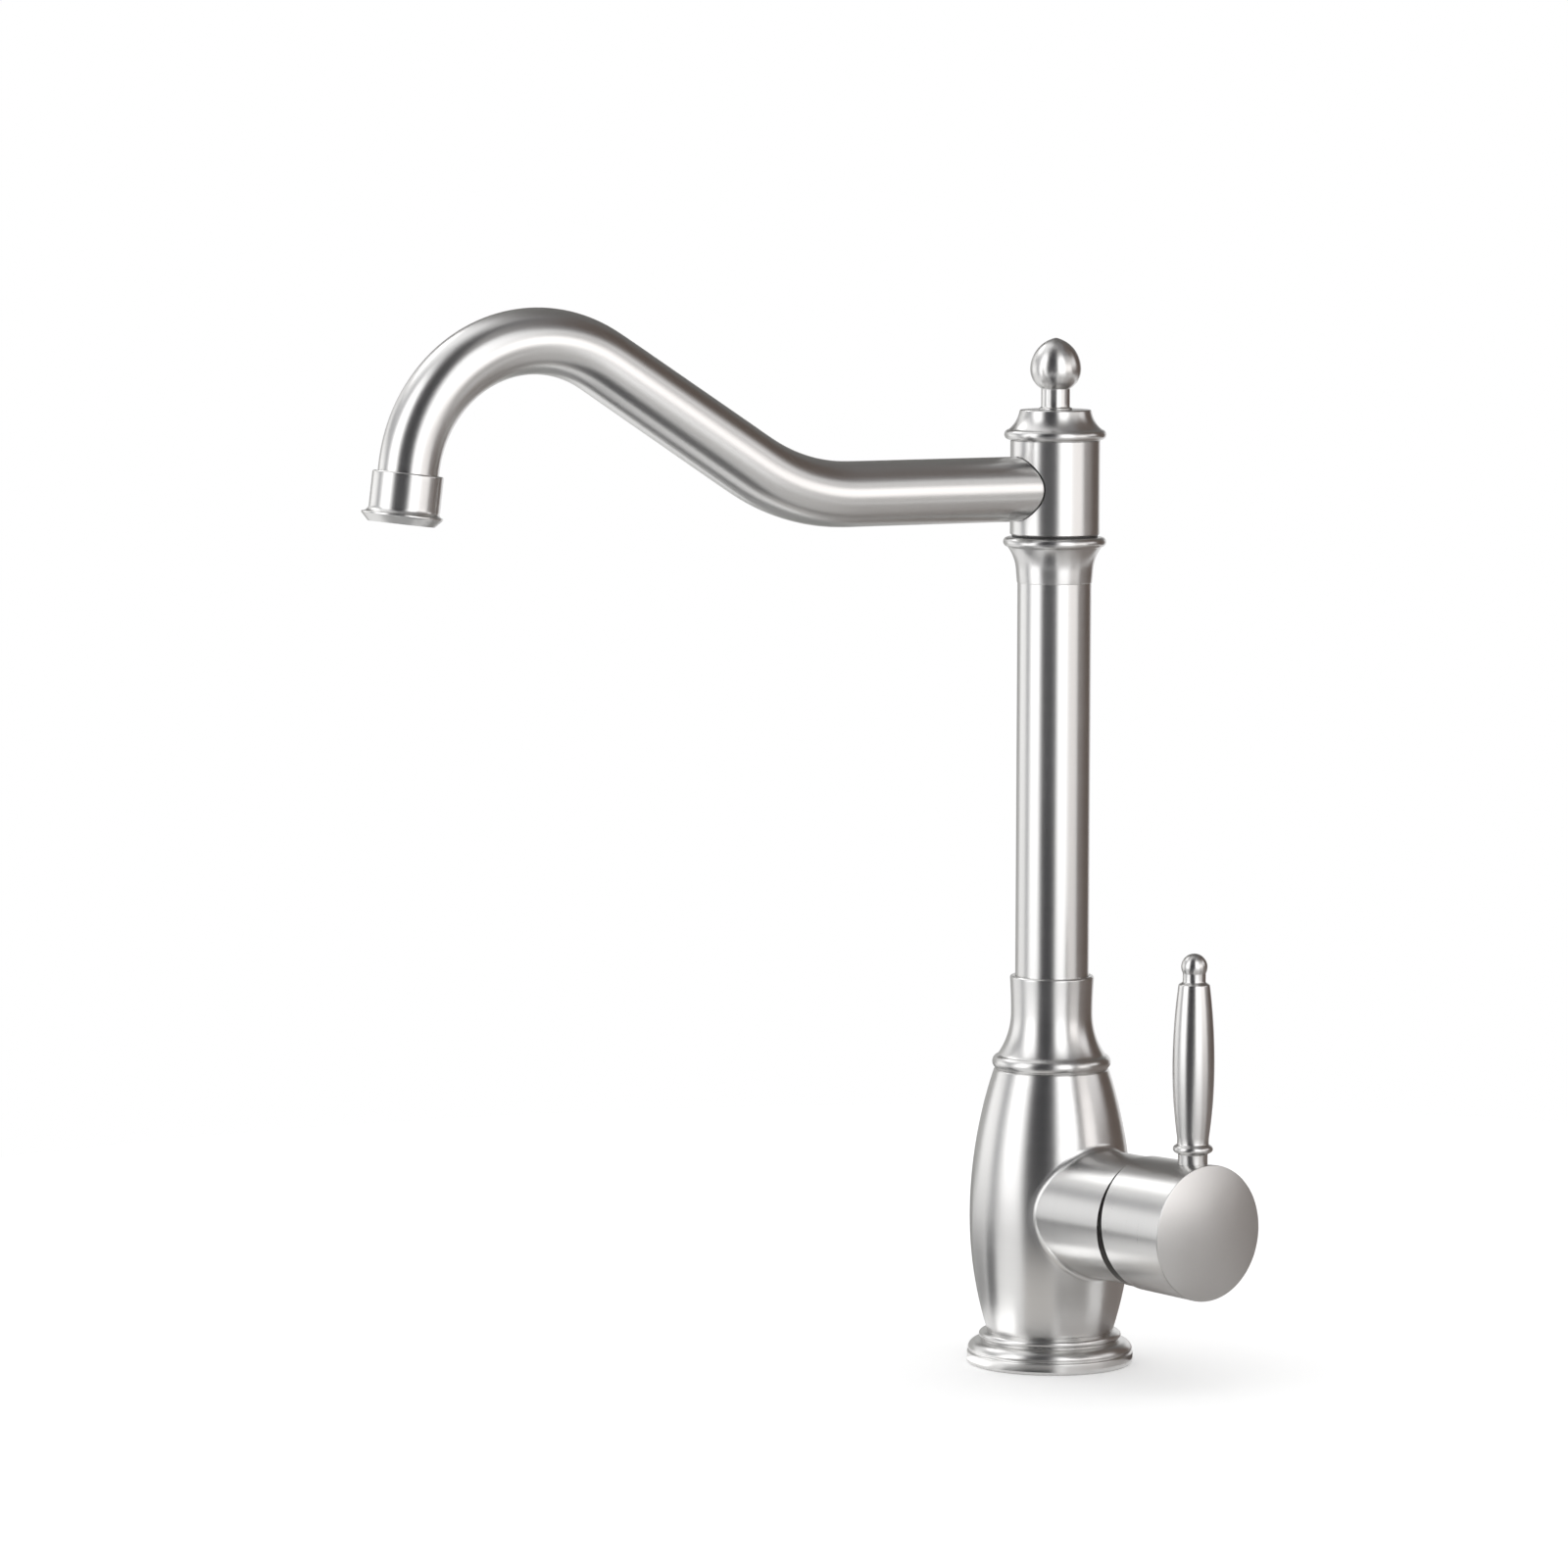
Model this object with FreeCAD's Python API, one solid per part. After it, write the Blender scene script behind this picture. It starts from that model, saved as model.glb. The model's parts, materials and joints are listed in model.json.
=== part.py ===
import FreeCAD, Part
import math
import os
from FreeCAD import Matrix, Placement, Rotation, Vector

# Gooseneck bar faucet with a side lever, in millimetres.
# +Z is up, the origin is on the body's axis at the deck, and the spout points along -X.
# Outlines are lists of (radius, height) or (radius, height, bulge) points. They run up the outside
# and down the inside, and a bulge is how far the arc to that point stands proud of its chord.

# ---- clearances -------------------------------------------------------------------------------
SEAT_GAP = 0.03        # radial, between fitted faces that don't move on each other
RUN_GAP = 0.06         # radial, where a piece turns in another
FACE_GAP = 0.05        # between flat faces that slide on each other
FREE_GAP = 0.4         # between pieces that pass each other without touching

# ---- foot, deck fixing ------------------------------------------------------------------------
FLANGE_RADIUS = 28.7
FLANGE_HEIGHT = 11.6
FLANGE_BAND = 3.9      # height of the upright band at the flange's rim
FLANGE_FLOOR = 3.0     # what the body stands on
SEAL_OUTER = 26.0
SEAL_WIDTH = 4.0
SEAL_THICKNESS = 1.6
SHANK_RADIUS = 16.0    # M32 thread
SHANK_LENGTH = 50.0    # below the deck
SHANK_GRIP = 11.0      # thread length inside the body
SHANK_PILOT = 14.0     # plain end below the thread, which the nut is started over
SHANK_PILOT_RADIUS = 15.1
SHANK_CHAMFER = 1.0
HOSE_BORE = 13.0
DECK_THICKNESS = 20.0
WASHER_RADIUS = 27.0
RUBBER_THICKNESS = 3.0
STEEL_THICKNESS = 1.5
NUT_HEIGHT = 9.0
NUT_ACROSS_FLATS = 46.0

# ---- body -------------------------------------------------------------------------------------
BODY_HEIGHT = 102.6
BELLY_HEIGHT = 51.6
BELLY_RADIUS = 27.95
FOOT_RADIUS = 21.8
SHOULDER_RADIUS = 19.9
FOOT_SPIGOT = 21.0     # radius of the foot inside the flange
MANIFOLD_TOP = 33.5
MANIFOLD_HEIGHT = 12.0
INLET_SPACING = 13.0
INLET_RADIUS = 4.5     # M10 x 1 hose thread
INLET_DEPTH = 9.0
WATERWAY_RADIUS = 3.0
OUTLET_WAY_RADIUS = 4.5
RISER_SOCKET = 18.0    # how far the riser goes down into the body

# ---- riser ------------------------------------------------------------------------------------
RISER_RADIUS = 12.7
RISER_WALL = 1.2
NECK_LENGTH = 32.3
NECK_BEAD_RADIUS = 20.2
NECK_BEAD = 5.4        # the bead's height
NECK_WAIST_RADIUS = 14.05
NECK_WAIST_HEIGHT = 19.4
NECK_RIM_RADIUS = 14.5
RISER_SHOWN = 151.3    # from the neck's rim to the swivel seam
COLLAR_BEAD_RADIUS = 17.7
COLLAR_BEAD = 3.4      # the bead's height
COLLAR_FLARE = 12.4
COLLAR_LIP = 0.15

# ---- swivel -----------------------------------------------------------------------------------
HEAD_RADIUS = 15.4
HEAD_HEIGHT = 32.2
GLIDE_THICKNESS = 0.7
SPIGOT_RADIUS = 11.0
SPIGOT_BORE = 7.5
SPIGOT_PLUG = 14.0     # length inside the riser
SPIGOT_SHOULDER = 2.4
ORING_SECTION = 1.6
ORING_FROM_END = 4.6   # from each end of the head's bore
WATER_HOLE = 2.8
CIRCLIP_THICKNESS = 1.0
CIRCLIP_RADIUS = 12.6
THRUST_THICKNESS = 0.6
HEAD_RECESS_RADIUS = 13.0
HEAD_RECESS = 5.0      # depth of the recess that holds the circlip
HEAD_NECK = 3.0        # spigot on the head that carries the cap

# ---- cap and finial ---------------------------------------------------------------------------
CAP_HEIGHT = 10.6
CAP_TOP_RADIUS = 12.3
CAP_BEAD_RADIUS = 17.95
CAP_BEAD = 3.8
CAP_TOP_WALL = 3.2
FINIAL_STEM_RADIUS = 4.95
FINIAL_STEM = 7.2
FINIAL_RADIUS = 8.75
FINIAL_WIDEST = 6.6    # height of the widest place above the stem
FINIAL_HEIGHT = 17.3
FINIAL_TIP_RADIUS = 0.9
FINIAL_TIP = 0.2       # height of the rounding at the tip
FINIAL_STUD_RADIUS = 3.0

# ---- spout ------------------------------------------------------------------------------------
SPOUT_RISE = 16.7      # centre of the spout above the swivel seam
SPOUT_RADIUS = 11.1
SPOUT_SWELL = 11.6     # radius on the slant
SPOUT_END_RADIUS = 10.0
SPOUT_WALL = 1.0
SPOUT_REACH = 246.7    # from the body's axis to the middle of the spout's end
FIRST_BEND = 69.4
SLANT_ANGLE = 32.2
SLANT_RUN = 66.9
CROWN_BEND = 46.2
FALL_RUN = 1.8         # straight run from the crown to the collar
OUTLET_LEAN = 7.2      # how far the outlet leans from straight down
HEAD_SOCKET_RADIUS = 13.4
OUTLET_HOLE = 7.5
COLLAR_SOCKET = 7.0
COLLAR_RADIUS = 11.7
COLLAR_LENGTH = 11.8
LIP_RADIUS = 13.9
LIP_HEIGHT = 4.9
AERATOR_RADIUS = 9.3
AERATOR_RIM = 1.3
AERATOR_RECESS = 0.8
AERATOR_WASHER = 1.2
SCREEN_THICKNESS = 0.8
SCREEN_PITCH = 2.6
SCREEN_BAR = 0.8

# ---- handle side ------------------------------------------------------------------------------
HANDLE_BEARING = 99.4  # from the spout to the handle, seen from above
HANDLE_HEIGHT = 55.1
BRANCH_RADIUS = 22.0
BRANCH_LENGTH = 49.5   # from the body's axis to the mouth
BRANCH_FILLET = 2.5
MOUTH_RING = 0.3
MOUTH_RING_WIDTH = 1.6
CARTRIDGE_BORE = 17.65
CARTRIDGE_DEPTH = 37.5 # from the mouth in to the cartridge's seat
PORT_DROP = 6.3
OUTLET_PORT_RISE = 7.0

# ---- cartridge, measured out from its seat ----------------------------------------------------
CARTRIDGE_RADIUS = 17.5
PORT_SEAL_SECTION = 1.2
BASE_THICKNESS = 4.2
DISC_THICKNESS = 4.0
MOVING_DISC_RADIUS = 11.4
CARRIER_THICKNESS = 2.8
CARRIER_RAIL = 2.0
CARRIER_RAIL_WIDTH = 14.0
CARRIER_RAIL_LENGTH = 16.0
SHELL_BORE = 15.0
ROTOR_FLANGE = 4.0
ROTOR_RADIUS = 12.0
ROTOR_LENGTH = 20.0
PIVOT_FROM_ROTOR = 7.6 # pivot pin, out from the rotor's inner face
PIN_RADIUS = 1.5
STEM_SIZE = 8.0
STEM_LENGTH = 33.0     # from the pivot to its outer end
STEM_ARM = 8.0         # from the pivot to the ball that drives the disc
STEM_BALL = 2.4
STEM_BOSS = 5.0
TILT_RANGE = 25.0
SHELL_TOP_WALL = 4.0
NUT_RING_HEIGHT = 7.0
NUT_RING_BORE = 12.6
BONNET_HEIGHT = 7.8
BONNET_HOLE = 13.3
BONNET_WALL = 1.4

# ---- hub and lever ----------------------------------------------------------------------------
HUB_REAR_RADIUS = 22.7
HUB_FACE_RADIUS = 23.2
HUB_LENGTH = 31.6      # from the branch's mouth to the face's rim
HUB_DOME = 1.5
HUB_TOP_GAP = 0.6
HUB_BOTTOM_GAP = 5.4
HUB_WALL = 2.2
HUB_HOLLOW = 16.5      # from the branch's mouth to the floor of the hub's hollow
HUB_BOSS_RADIUS = 11.5
HUB_BOSS_INSET = 9.5   # from the branch's mouth to the boss
SET_SCREW_RADIUS = 2.5
SET_SCREW_LENGTH = 6.0
SET_SCREW_INSET = 6.5  # from the stem's outer end
LEVER_FROM_FACE = 8.1
LEVER_STUD_RADIUS = 3.0
LEVER_STUD = 9.0
LEVER_HEIGHT = 71.8
LEVER_FOOT_RADIUS = 5.0
LEVER_BEAD_RADIUS = 6.8
LEVER_BEAD_PLACE = 6.0 # this place and the next two are heights above the lever's seat
LEVER_WAIST_RADIUS = 5.35
LEVER_WAIST_PLACE = 9.0
LEVER_BELLY_RADIUS = 7.1
LEVER_BELLY_PLACE = 34.0
LEVER_SHOULDER_RADIUS = 5.3
LEVER_NECK_RADIUS = 3.9
LEVER_NECK = 3.9       # from the spindle's shoulder to the ball
LEVER_BALL = 6.6       # the ball's height above the neck

# ---- heights and places worked out from the sizes above ---------------------------------------
NECK_TOP = BODY_HEIGHT + NECK_LENGTH
SEAM = NECK_TOP + RISER_SHOWN                  # top of the riser's collar
RISER_TOP = SEAM - COLLAR_BEAD - SPIGOT_SHOULDER
RISER_BOTTOM = BODY_HEIGHT - RISER_SOCKET
HEAD_BOTTOM = SEAM + GLIDE_THICKNESS + FACE_GAP
HEAD_TOP = HEAD_BOTTOM + HEAD_HEIGHT
HEAD_BORE = SPIGOT_RADIUS + RUN_GAP
HEAD_STEP = HEAD_TOP + HEAD_NECK - HEAD_RECESS
CAP_TOP = HEAD_TOP + CAP_HEIGHT
SPOUT_LEVEL = SEAM + SPOUT_RISE
SHANK_SEAT = FLANGE_FLOOR + SHANK_GRIP
SEAT_DISTANCE = BRANCH_LENGTH - CARTRIDGE_DEPTH
HUB_FACE = BRANCH_LENGTH + HUB_LENGTH
HUB_HOLLOW_END = BRANCH_LENGTH + HUB_HOLLOW
HUB_BOSS_START = BRANCH_LENGTH + HUB_BOSS_INSET
SLANT = math.radians(SLANT_ANGLE)
FALL = math.radians(90 - OUTLET_LEAN)          # turn of the spout from level to its outlet
LEVEL_RUN = (SPOUT_REACH - FIRST_BEND * math.sin(SLANT) - SLANT_RUN * math.cos(SLANT)
             - CROWN_BEND * (math.sin(SLANT) + math.sin(FALL)) - FALL_RUN * math.cos(FALL))
OUT = Vector(-math.cos(math.radians(HANDLE_BEARING)), -math.sin(math.radians(HANDLE_BEARING)), 0)
UP = Vector(0, 0, 1)


# ---- shared shapes ----------------------------------------------------------------------------
def outline_edges(points):
    """Edges of a closed outline in the XZ plane, with bulged stretches as arcs."""
    edges = []
    ends = points[1:] + points[:1]
    for start, end in zip(points, ends):
        a = Vector(start[0], 0, start[1])
        b = Vector(end[0], 0, end[1])
        bulge = end[2] if len(end) > 2 else 0
        if bulge:
            chord = b - a
            outward = Vector(chord.z, 0, -chord.x).normalize()
            edges.append(Part.Arc(a, (a + b) * 0.5 + outward * bulge, b).toShape())
        else:
            edges.append(Part.LineSegment(a, b).toShape())
    return edges


def turned(points):
    """A solid turned about Z from its outline."""
    face = Part.Face(Part.Wire(outline_edges(points)))
    return face.revolve(Vector(0, 0, 0), UP, 360)


def ring(inner, outer, bottom, top):
    """A plain ring or, with no inner radius, a plain disc."""
    return turned([(outer, bottom), (outer, top), (inner, top), (inner, bottom)])


def rod(radius, start, direction, length):
    """A cylinder that starts at a point and runs along a direction."""
    return Part.makeCylinder(radius, length, start, direction)


def block(x, y, z, size_x, size_y, size_z):
    """A box centred on X and Y that rises from z."""
    return Part.makeBox(size_x, size_y, size_z, Vector(x - size_x / 2, y - size_y / 2, z))


def sagitta(radius, start, end):
    """How far an arc of this radius stands proud of the chord between two outline points."""
    half = math.hypot(end[0] - start[0], end[1] - start[1]) / 2
    return radius - math.sqrt(radius * radius - half * half)


def upright_bulge(crest, foot):
    """Bulge of the arc that is upright at the crest and ends at the foot. At a waist it is below 0."""
    drop = crest[0] - foot[0]
    run = crest[1] - foot[1]
    radius = (run * run + drop * drop) / (2 * abs(drop))
    return math.copysign(sagitta(radius, crest, foot), drop)


def crown_bulge(width, rise):
    """Bulge of an arc that starts at this radius, ends this much higher on the axis, and has its
    centre on the axis, as a ball or a dome has."""
    radius = (width * width + rise * rise) / (2 * rise)
    return sagitta(radius, (width, 0), (0, rise))


def on_handle_side(shape, distance=0):
    """Place a shape made with Z outward and X upward on the handle's axis."""
    side = OUT.cross(UP)
    turn = Matrix(UP.x, side.x, OUT.x, OUT.x * distance,
                  UP.y, side.y, OUT.y, OUT.y * distance,
                  UP.z, side.z, OUT.z, HANDLE_HEIGHT,
                  0, 0, 0, 1)
    shape.Placement = Placement(turn).multiply(shape.Placement)
    return shape


def in_place(shape, base, direction):
    """Move a shape from the origin to a base point, with its Z axis along a direction."""
    shape.Placement = Placement(base, Rotation(UP, direction)).multiply(shape.Placement)
    return shape


def save(name, shape):
    solids = shape.Solids
    whole = solids[0] if len(solids) == 1 else Part.makeCompound(solids)
    whole.exportStep("parts/" + name + ".step")
    print(name, "solids", len(solids), "valid", whole.isValid(), "volume", round(whole.Volume, 1))


# ---- foot and deck fixing ---------------------------------------------------------------------
def base_flange():
    """Stepped ring round the body's foot: an upright band, a rounded shoulder and a bead."""
    groove = FLANGE_BAND + 1.3
    shoulder = FLANGE_RADIUS - 3.6
    bead = FLANGE_RADIUS - 4.9
    bead_foot = FLANGE_HEIGHT - 3.0
    bore = FOOT_SPIGOT + SEAT_GAP
    seal_inner = SEAL_OUTER - SEAL_WIDTH
    return turned([
        (SEAL_OUTER + SEAT_GAP, 0), (FLANGE_RADIUS - 0.6, 0), (FLANGE_RADIUS, 0.6),
        (FLANGE_RADIUS, FLANGE_BAND), (FLANGE_RADIUS - 0.7, FLANGE_BAND + 0.4),
        (FLANGE_RADIUS - 0.7, groove - 0.4), (FLANGE_RADIUS - 0.25, groove),
        (shoulder, bead_foot - 0.6, 0.75), (bead, bead_foot - 0.3), (bead, bead_foot),
        (bead - 0.5, FLANGE_HEIGHT - 0.5, 1.0), (bead - 1.4, FLANGE_HEIGHT),
        (bore, FLANGE_HEIGHT), (bore, FLANGE_FLOOR), (SHANK_RADIUS + SEAT_GAP, FLANGE_FLOOR),
        (SHANK_RADIUS + SEAT_GAP, 0), (seal_inner - SEAT_GAP, 0),
        (seal_inner - SEAT_GAP, SEAL_THICKNESS), (SEAL_OUTER + SEAT_GAP, SEAL_THICKNESS)])


def base_seal():
    """Flat rubber ring in the groove under the flange."""
    return ring(SEAL_OUTER - SEAL_WIDTH, SEAL_OUTER, 0, SEAL_THICKNESS)


def threaded_shank():
    """Hollow shank that screws into the body and passes through the deck, with a plain pilot end."""
    thread_end = SHANK_PILOT - SHANK_LENGTH
    return turned([
        (SHANK_PILOT_RADIUS - SHANK_CHAMFER, -SHANK_LENGTH),
        (SHANK_PILOT_RADIUS, -SHANK_LENGTH + SHANK_CHAMFER), (SHANK_PILOT_RADIUS, thread_end),
        (SHANK_RADIUS, thread_end + SHANK_RADIUS - SHANK_PILOT_RADIUS),
        (SHANK_RADIUS, SHANK_SEAT - SHANK_CHAMFER), (SHANK_RADIUS - SHANK_CHAMFER, SHANK_SEAT),
        (HOSE_BORE, SHANK_SEAT), (HOSE_BORE, -SHANK_LENGTH)])


def deck_washer(top, thickness):
    return ring(SHANK_RADIUS + SEAT_GAP, WASHER_RADIUS, top - thickness, top)


def mounting_nut():
    """Hexagon nut with its corners turned back, on the shank under the washers."""
    top = -DECK_THICKNESS - RUBBER_THICKNESS - STEEL_THICKNESS
    bottom = top - NUT_HEIGHT
    corner = NUT_ACROSS_FLATS / math.sqrt(3)
    corners = [Vector(corner * math.cos(math.radians(60 * i)), corner * math.sin(math.radians(60 * i)),
                      bottom) for i in range(7)]
    prism = Part.Face(Part.makePolygon(corners)).extrude(UP * NUT_HEIGHT)
    flat = NUT_ACROSS_FLATS / 2
    turned_back = turned([(flat, bottom), (corner + 0.1, bottom + 2.0), (corner + 0.1, top - 2.0),
                          (flat, top), (SHANK_RADIUS + SEAT_GAP, top), (SHANK_RADIUS + SEAT_GAP, bottom)])
    return prism.common(turned_back)


# ---- body -------------------------------------------------------------------------------------
def inlet_points(height):
    side = OUT.cross(UP) * (INLET_SPACING / 2)
    return [UP * height + side, UP * height - side]


def body_casting():
    """Outside of the body: a belly of two arcs with the side branch blended into it."""
    foot = (FOOT_RADIUS, FLANGE_HEIGHT)
    crest = (BELLY_RADIUS, BELLY_HEIGHT)
    chamfer = 0.4
    edge = (SHOULDER_RADIUS, BODY_HEIGHT - chamfer)
    belly = turned([
        (FOOT_SPIGOT - chamfer, FLANGE_FLOOR), (FOOT_SPIGOT, FLANGE_FLOOR + chamfer),
        (FOOT_SPIGOT, FLANGE_HEIGHT), foot,
        crest + (upright_bulge(crest, foot),), edge + (upright_bulge(crest, edge),),
        (SHOULDER_RADIUS - chamfer, BODY_HEIGHT), (0, BODY_HEIGHT), (0, FLANGE_FLOOR)])
    branch = on_handle_side(Part.makeCylinder(BRANCH_RADIUS, BRANCH_LENGTH))
    casting = belly.fuse(branch).removeSplitter()
    casting = casting.makeFillet(BRANCH_FILLET, saddle_edges(casting))
    lip = on_handle_side(ring(CARTRIDGE_BORE, BRANCH_RADIUS + MOUTH_RING,
                              BRANCH_LENGTH - MOUTH_RING_WIDTH, BRANCH_LENGTH))
    return casting.fuse(lip)


def saddle_edges(casting):
    """The edges where the branch meets the belly."""
    axis_point = UP * HANDLE_HEIGHT
    found = []
    for edge in casting.Edges:
        middle = edge.valueAt((edge.FirstParameter + edge.LastParameter) / 2)
        along = (middle - axis_point).dot(OUT)
        from_axis = (middle - axis_point - OUT * along).Length
        flat = edge.BoundBox.ZLength < 0.001 and abs(along) < 1
        if abs(from_axis - BRANCH_RADIUS) < 0.01 and 1 < along < BRANCH_LENGTH - 1 and not flat:
            if not isinstance(edge.Curve, Part.Line):
                found.append(edge)
    return found


def barrel_body():
    """The casting with its shank thread, hose bore, waterways, cartridge seat and riser socket."""
    casting = body_casting()
    bores = [
        rod(SHANK_RADIUS + SEAT_GAP, Vector(0, 0, 0), UP, SHANK_SEAT),
        rod(HOSE_BORE, Vector(0, 0, 0), UP, MANIFOLD_TOP),
        rod(RISER_RADIUS + SEAT_GAP, UP * RISER_BOTTOM, UP, RISER_SOCKET + 1),
        rod(CARTRIDGE_BORE, UP * HANDLE_HEIGHT + OUT * SEAT_DISTANCE, OUT, BRANCH_LENGTH)]
    inlet_height = HANDLE_HEIGHT - PORT_DROP
    for foot, elbow in zip(inlet_points(MANIFOLD_TOP - 1), inlet_points(inlet_height)):
        bores.append(rod(WATERWAY_RADIUS, foot, UP, inlet_height - MANIFOLD_TOP + 1))
        bores.append(rod(WATERWAY_RADIUS, elbow, OUT, SEAT_DISTANCE + 1))
        bores.append(Part.makeSphere(WATERWAY_RADIUS, elbow))
    turn = UP * (HANDLE_HEIGHT + OUTLET_PORT_RISE)
    bores.append(rod(OUTLET_WAY_RADIUS, turn, UP, RISER_BOTTOM - turn.z + 1))
    bores.append(rod(OUTLET_WAY_RADIUS, turn, OUT, SEAT_DISTANCE + 1))
    bores.append(Part.makeSphere(OUTLET_WAY_RADIUS, turn))
    return casting.cut(bores)


def inlet_manifold():
    """Round brass block at the top of the hose bore, with the two hose threads."""
    bottom = MANIFOLD_TOP - MANIFOLD_HEIGHT
    body = ring(0, HOSE_BORE - SEAT_GAP, bottom, MANIFOLD_TOP)
    holes = []
    for mouth in inlet_points(bottom):
        holes.append(rod(INLET_RADIUS, mouth, UP, INLET_DEPTH))
        holes.append(rod(WATERWAY_RADIUS, mouth, UP, MANIFOLD_HEIGHT))
    return body.cut(holes)


# ---- riser ------------------------------------------------------------------------------------
def neck_sleeve():
    """Flared sleeve round the riser's foot, with a bead where it sits on the body."""
    bore = RISER_RADIUS + SEAT_GAP
    base = BODY_HEIGHT
    seat = NECK_BEAD_RADIUS - 0.7
    foot = (seat - 1.3, base + NECK_BEAD)
    waist = (NECK_WAIST_RADIUS, base + NECK_WAIST_HEIGHT)
    rim = (NECK_RIM_RADIUS, NECK_TOP - 0.5)
    return turned([
        (seat, base), (seat, base + 0.4), (seat - 0.8, base + NECK_BEAD - 0.6, 1.35), foot,
        waist + (upright_bulge(waist, foot),), rim + (upright_bulge(waist, rim),),
        (NECK_RIM_RADIUS - 0.5, NECK_TOP), (bore, NECK_TOP), (bore, base)])


def riser_tube():
    return ring(RISER_RADIUS - RISER_WALL, RISER_RADIUS, RISER_BOTTOM, RISER_TOP)


def riser_top_collar():
    """Bead and flare round the riser's top end, held down by the spigot's shoulder."""
    bead_foot = SEAM - COLLAR_BEAD
    tip = bead_foot - COLLAR_FLARE
    lip = RISER_RADIUS + SEAT_GAP + COLLAR_LIP
    return turned([
        (RISER_RADIUS + SEAT_GAP, tip), (lip, tip), (lip + 0.35, tip + 4.0),
        (COLLAR_BEAD_RADIUS - 1.5, bead_foot, -0.7), (COLLAR_BEAD_RADIUS - 0.9, bead_foot + 0.2),
        (COLLAR_BEAD_RADIUS - 0.9, SEAM - 0.2, 0.9), (COLLAR_BEAD_RADIUS - 1.6, SEAM),
        (SPIGOT_RADIUS + SEAT_GAP, SEAM), (SPIGOT_RADIUS + SEAT_GAP, bead_foot),
        (RISER_RADIUS + SEAT_GAP, bead_foot)])


# ---- swivel -----------------------------------------------------------------------------------
def oring_heights():
    return [HEAD_BOTTOM + ORING_FROM_END, HEAD_STEP - ORING_FROM_END]


def swivel_spigot():
    """Hollow spigot in the riser's top: two ring grooves, a water relief and a circlip groove."""
    floor = SPIGOT_RADIUS - ORING_SECTION
    half = ORING_SECTION / 2 + 0.2
    low, high = oring_heights()
    clip = HEAD_STEP + FACE_GAP + THRUST_THICKNESS
    top = clip + CIRCLIP_THICKNESS + 1.6
    body = turned([
        (RISER_RADIUS - RISER_WALL - SEAT_GAP, RISER_TOP - SPIGOT_PLUG),
        (RISER_RADIUS - RISER_WALL - SEAT_GAP, RISER_TOP), (RISER_RADIUS - 0.1, RISER_TOP),
        (RISER_RADIUS - 0.1, RISER_TOP + SPIGOT_SHOULDER), (SPIGOT_RADIUS, RISER_TOP + SPIGOT_SHOULDER),
        (SPIGOT_RADIUS, low - half), (floor, low - half), (floor, low + half),
        (SPIGOT_RADIUS, low + half), (SPIGOT_RADIUS, low + half + 2), (floor, low + half + 3),
        (floor, high - half - 3), (SPIGOT_RADIUS, high - half - 2), (SPIGOT_RADIUS, high - half),
        (floor, high - half), (floor, high + half), (SPIGOT_RADIUS, high + half),
        (SPIGOT_RADIUS, clip), (floor, clip), (floor, clip + CIRCLIP_THICKNESS),
        (SPIGOT_RADIUS, clip + CIRCLIP_THICKNESS), (SPIGOT_RADIUS, top - 0.5),
        (SPIGOT_RADIUS - 0.5, top), (0, top), (0, high - 1), (SPIGOT_BORE, high - 1),
        (SPIGOT_BORE, RISER_TOP - SPIGOT_PLUG)])
    holes = []
    for i in range(4):
        angle = math.radians(45 + 90 * i)
        holes.append(rod(WATER_HOLE, UP * SPOUT_LEVEL, Vector(math.cos(angle), math.sin(angle), 0),
                         SPIGOT_RADIUS + 1))
    return body.cut(holes)


def spigot_orings():
    """The two rubber rings that seal the swivel, as separate solids."""
    middle = SPIGOT_RADIUS - ORING_SECTION / 2
    section = ORING_SECTION / 2 - 0.02
    return Part.makeCompound([Part.makeTorus(middle, section, UP * z) for z in oring_heights()])


def glide_ring():
    return ring(SPIGOT_RADIUS + SEAT_GAP, HEAD_RADIUS - 0.7, SEAM, SEAM + GLIDE_THICKNESS)


def thrust_washer():
    bottom = HEAD_STEP + FACE_GAP
    return ring(SPIGOT_RADIUS + SEAT_GAP, CIRCLIP_RADIUS, bottom, bottom + THRUST_THICKNESS)


def spout_circlip():
    """Split spring ring in the spigot's groove. It keeps the head from lifting."""
    bottom = HEAD_STEP + FACE_GAP + THRUST_THICKNESS
    inner = SPIGOT_RADIUS - ORING_SECTION + SEAT_GAP
    slot = block(CIRCLIP_RADIUS, 0, bottom, 2 * inner, 5.0, CIRCLIP_THICKNESS)
    return ring(inner, CIRCLIP_RADIUS, bottom, bottom + CIRCLIP_THICKNESS).cut(slot)


def head_core(radius):
    """A bar on the body's axis as tall as the head, which the spout's inner end is cut to."""
    return rod(radius, UP * HEAD_BOTTOM, UP, HEAD_HEIGHT)


def swivel_head():
    """The turning head: bore for the spigot, socket for the spout and spigot for the cap."""
    neck_radius = HEAD_RADIUS - 1.2
    chamfer = 0.4
    body = turned([
        (HEAD_BORE, HEAD_BOTTOM), (HEAD_RADIUS - chamfer, HEAD_BOTTOM),
        (HEAD_RADIUS, HEAD_BOTTOM + chamfer), (HEAD_RADIUS, HEAD_TOP),
        (neck_radius, HEAD_TOP), (neck_radius, HEAD_TOP + HEAD_NECK),
        (HEAD_RECESS_RADIUS, HEAD_TOP + HEAD_NECK), (HEAD_RECESS_RADIUS, HEAD_STEP),
        (HEAD_BORE, HEAD_STEP)])
    centre = UP * SPOUT_LEVEL
    socket = rod(SPOUT_RADIUS + SEAT_GAP, centre, Vector(-1, 0, 0), HEAD_RADIUS + 5)
    socket = socket.cut(head_core(HEAD_SOCKET_RADIUS))
    hole = rod(OUTLET_HOLE, centre, Vector(-1, 0, 0), HEAD_RADIUS)
    return body.cut([socket, hole])


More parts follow.
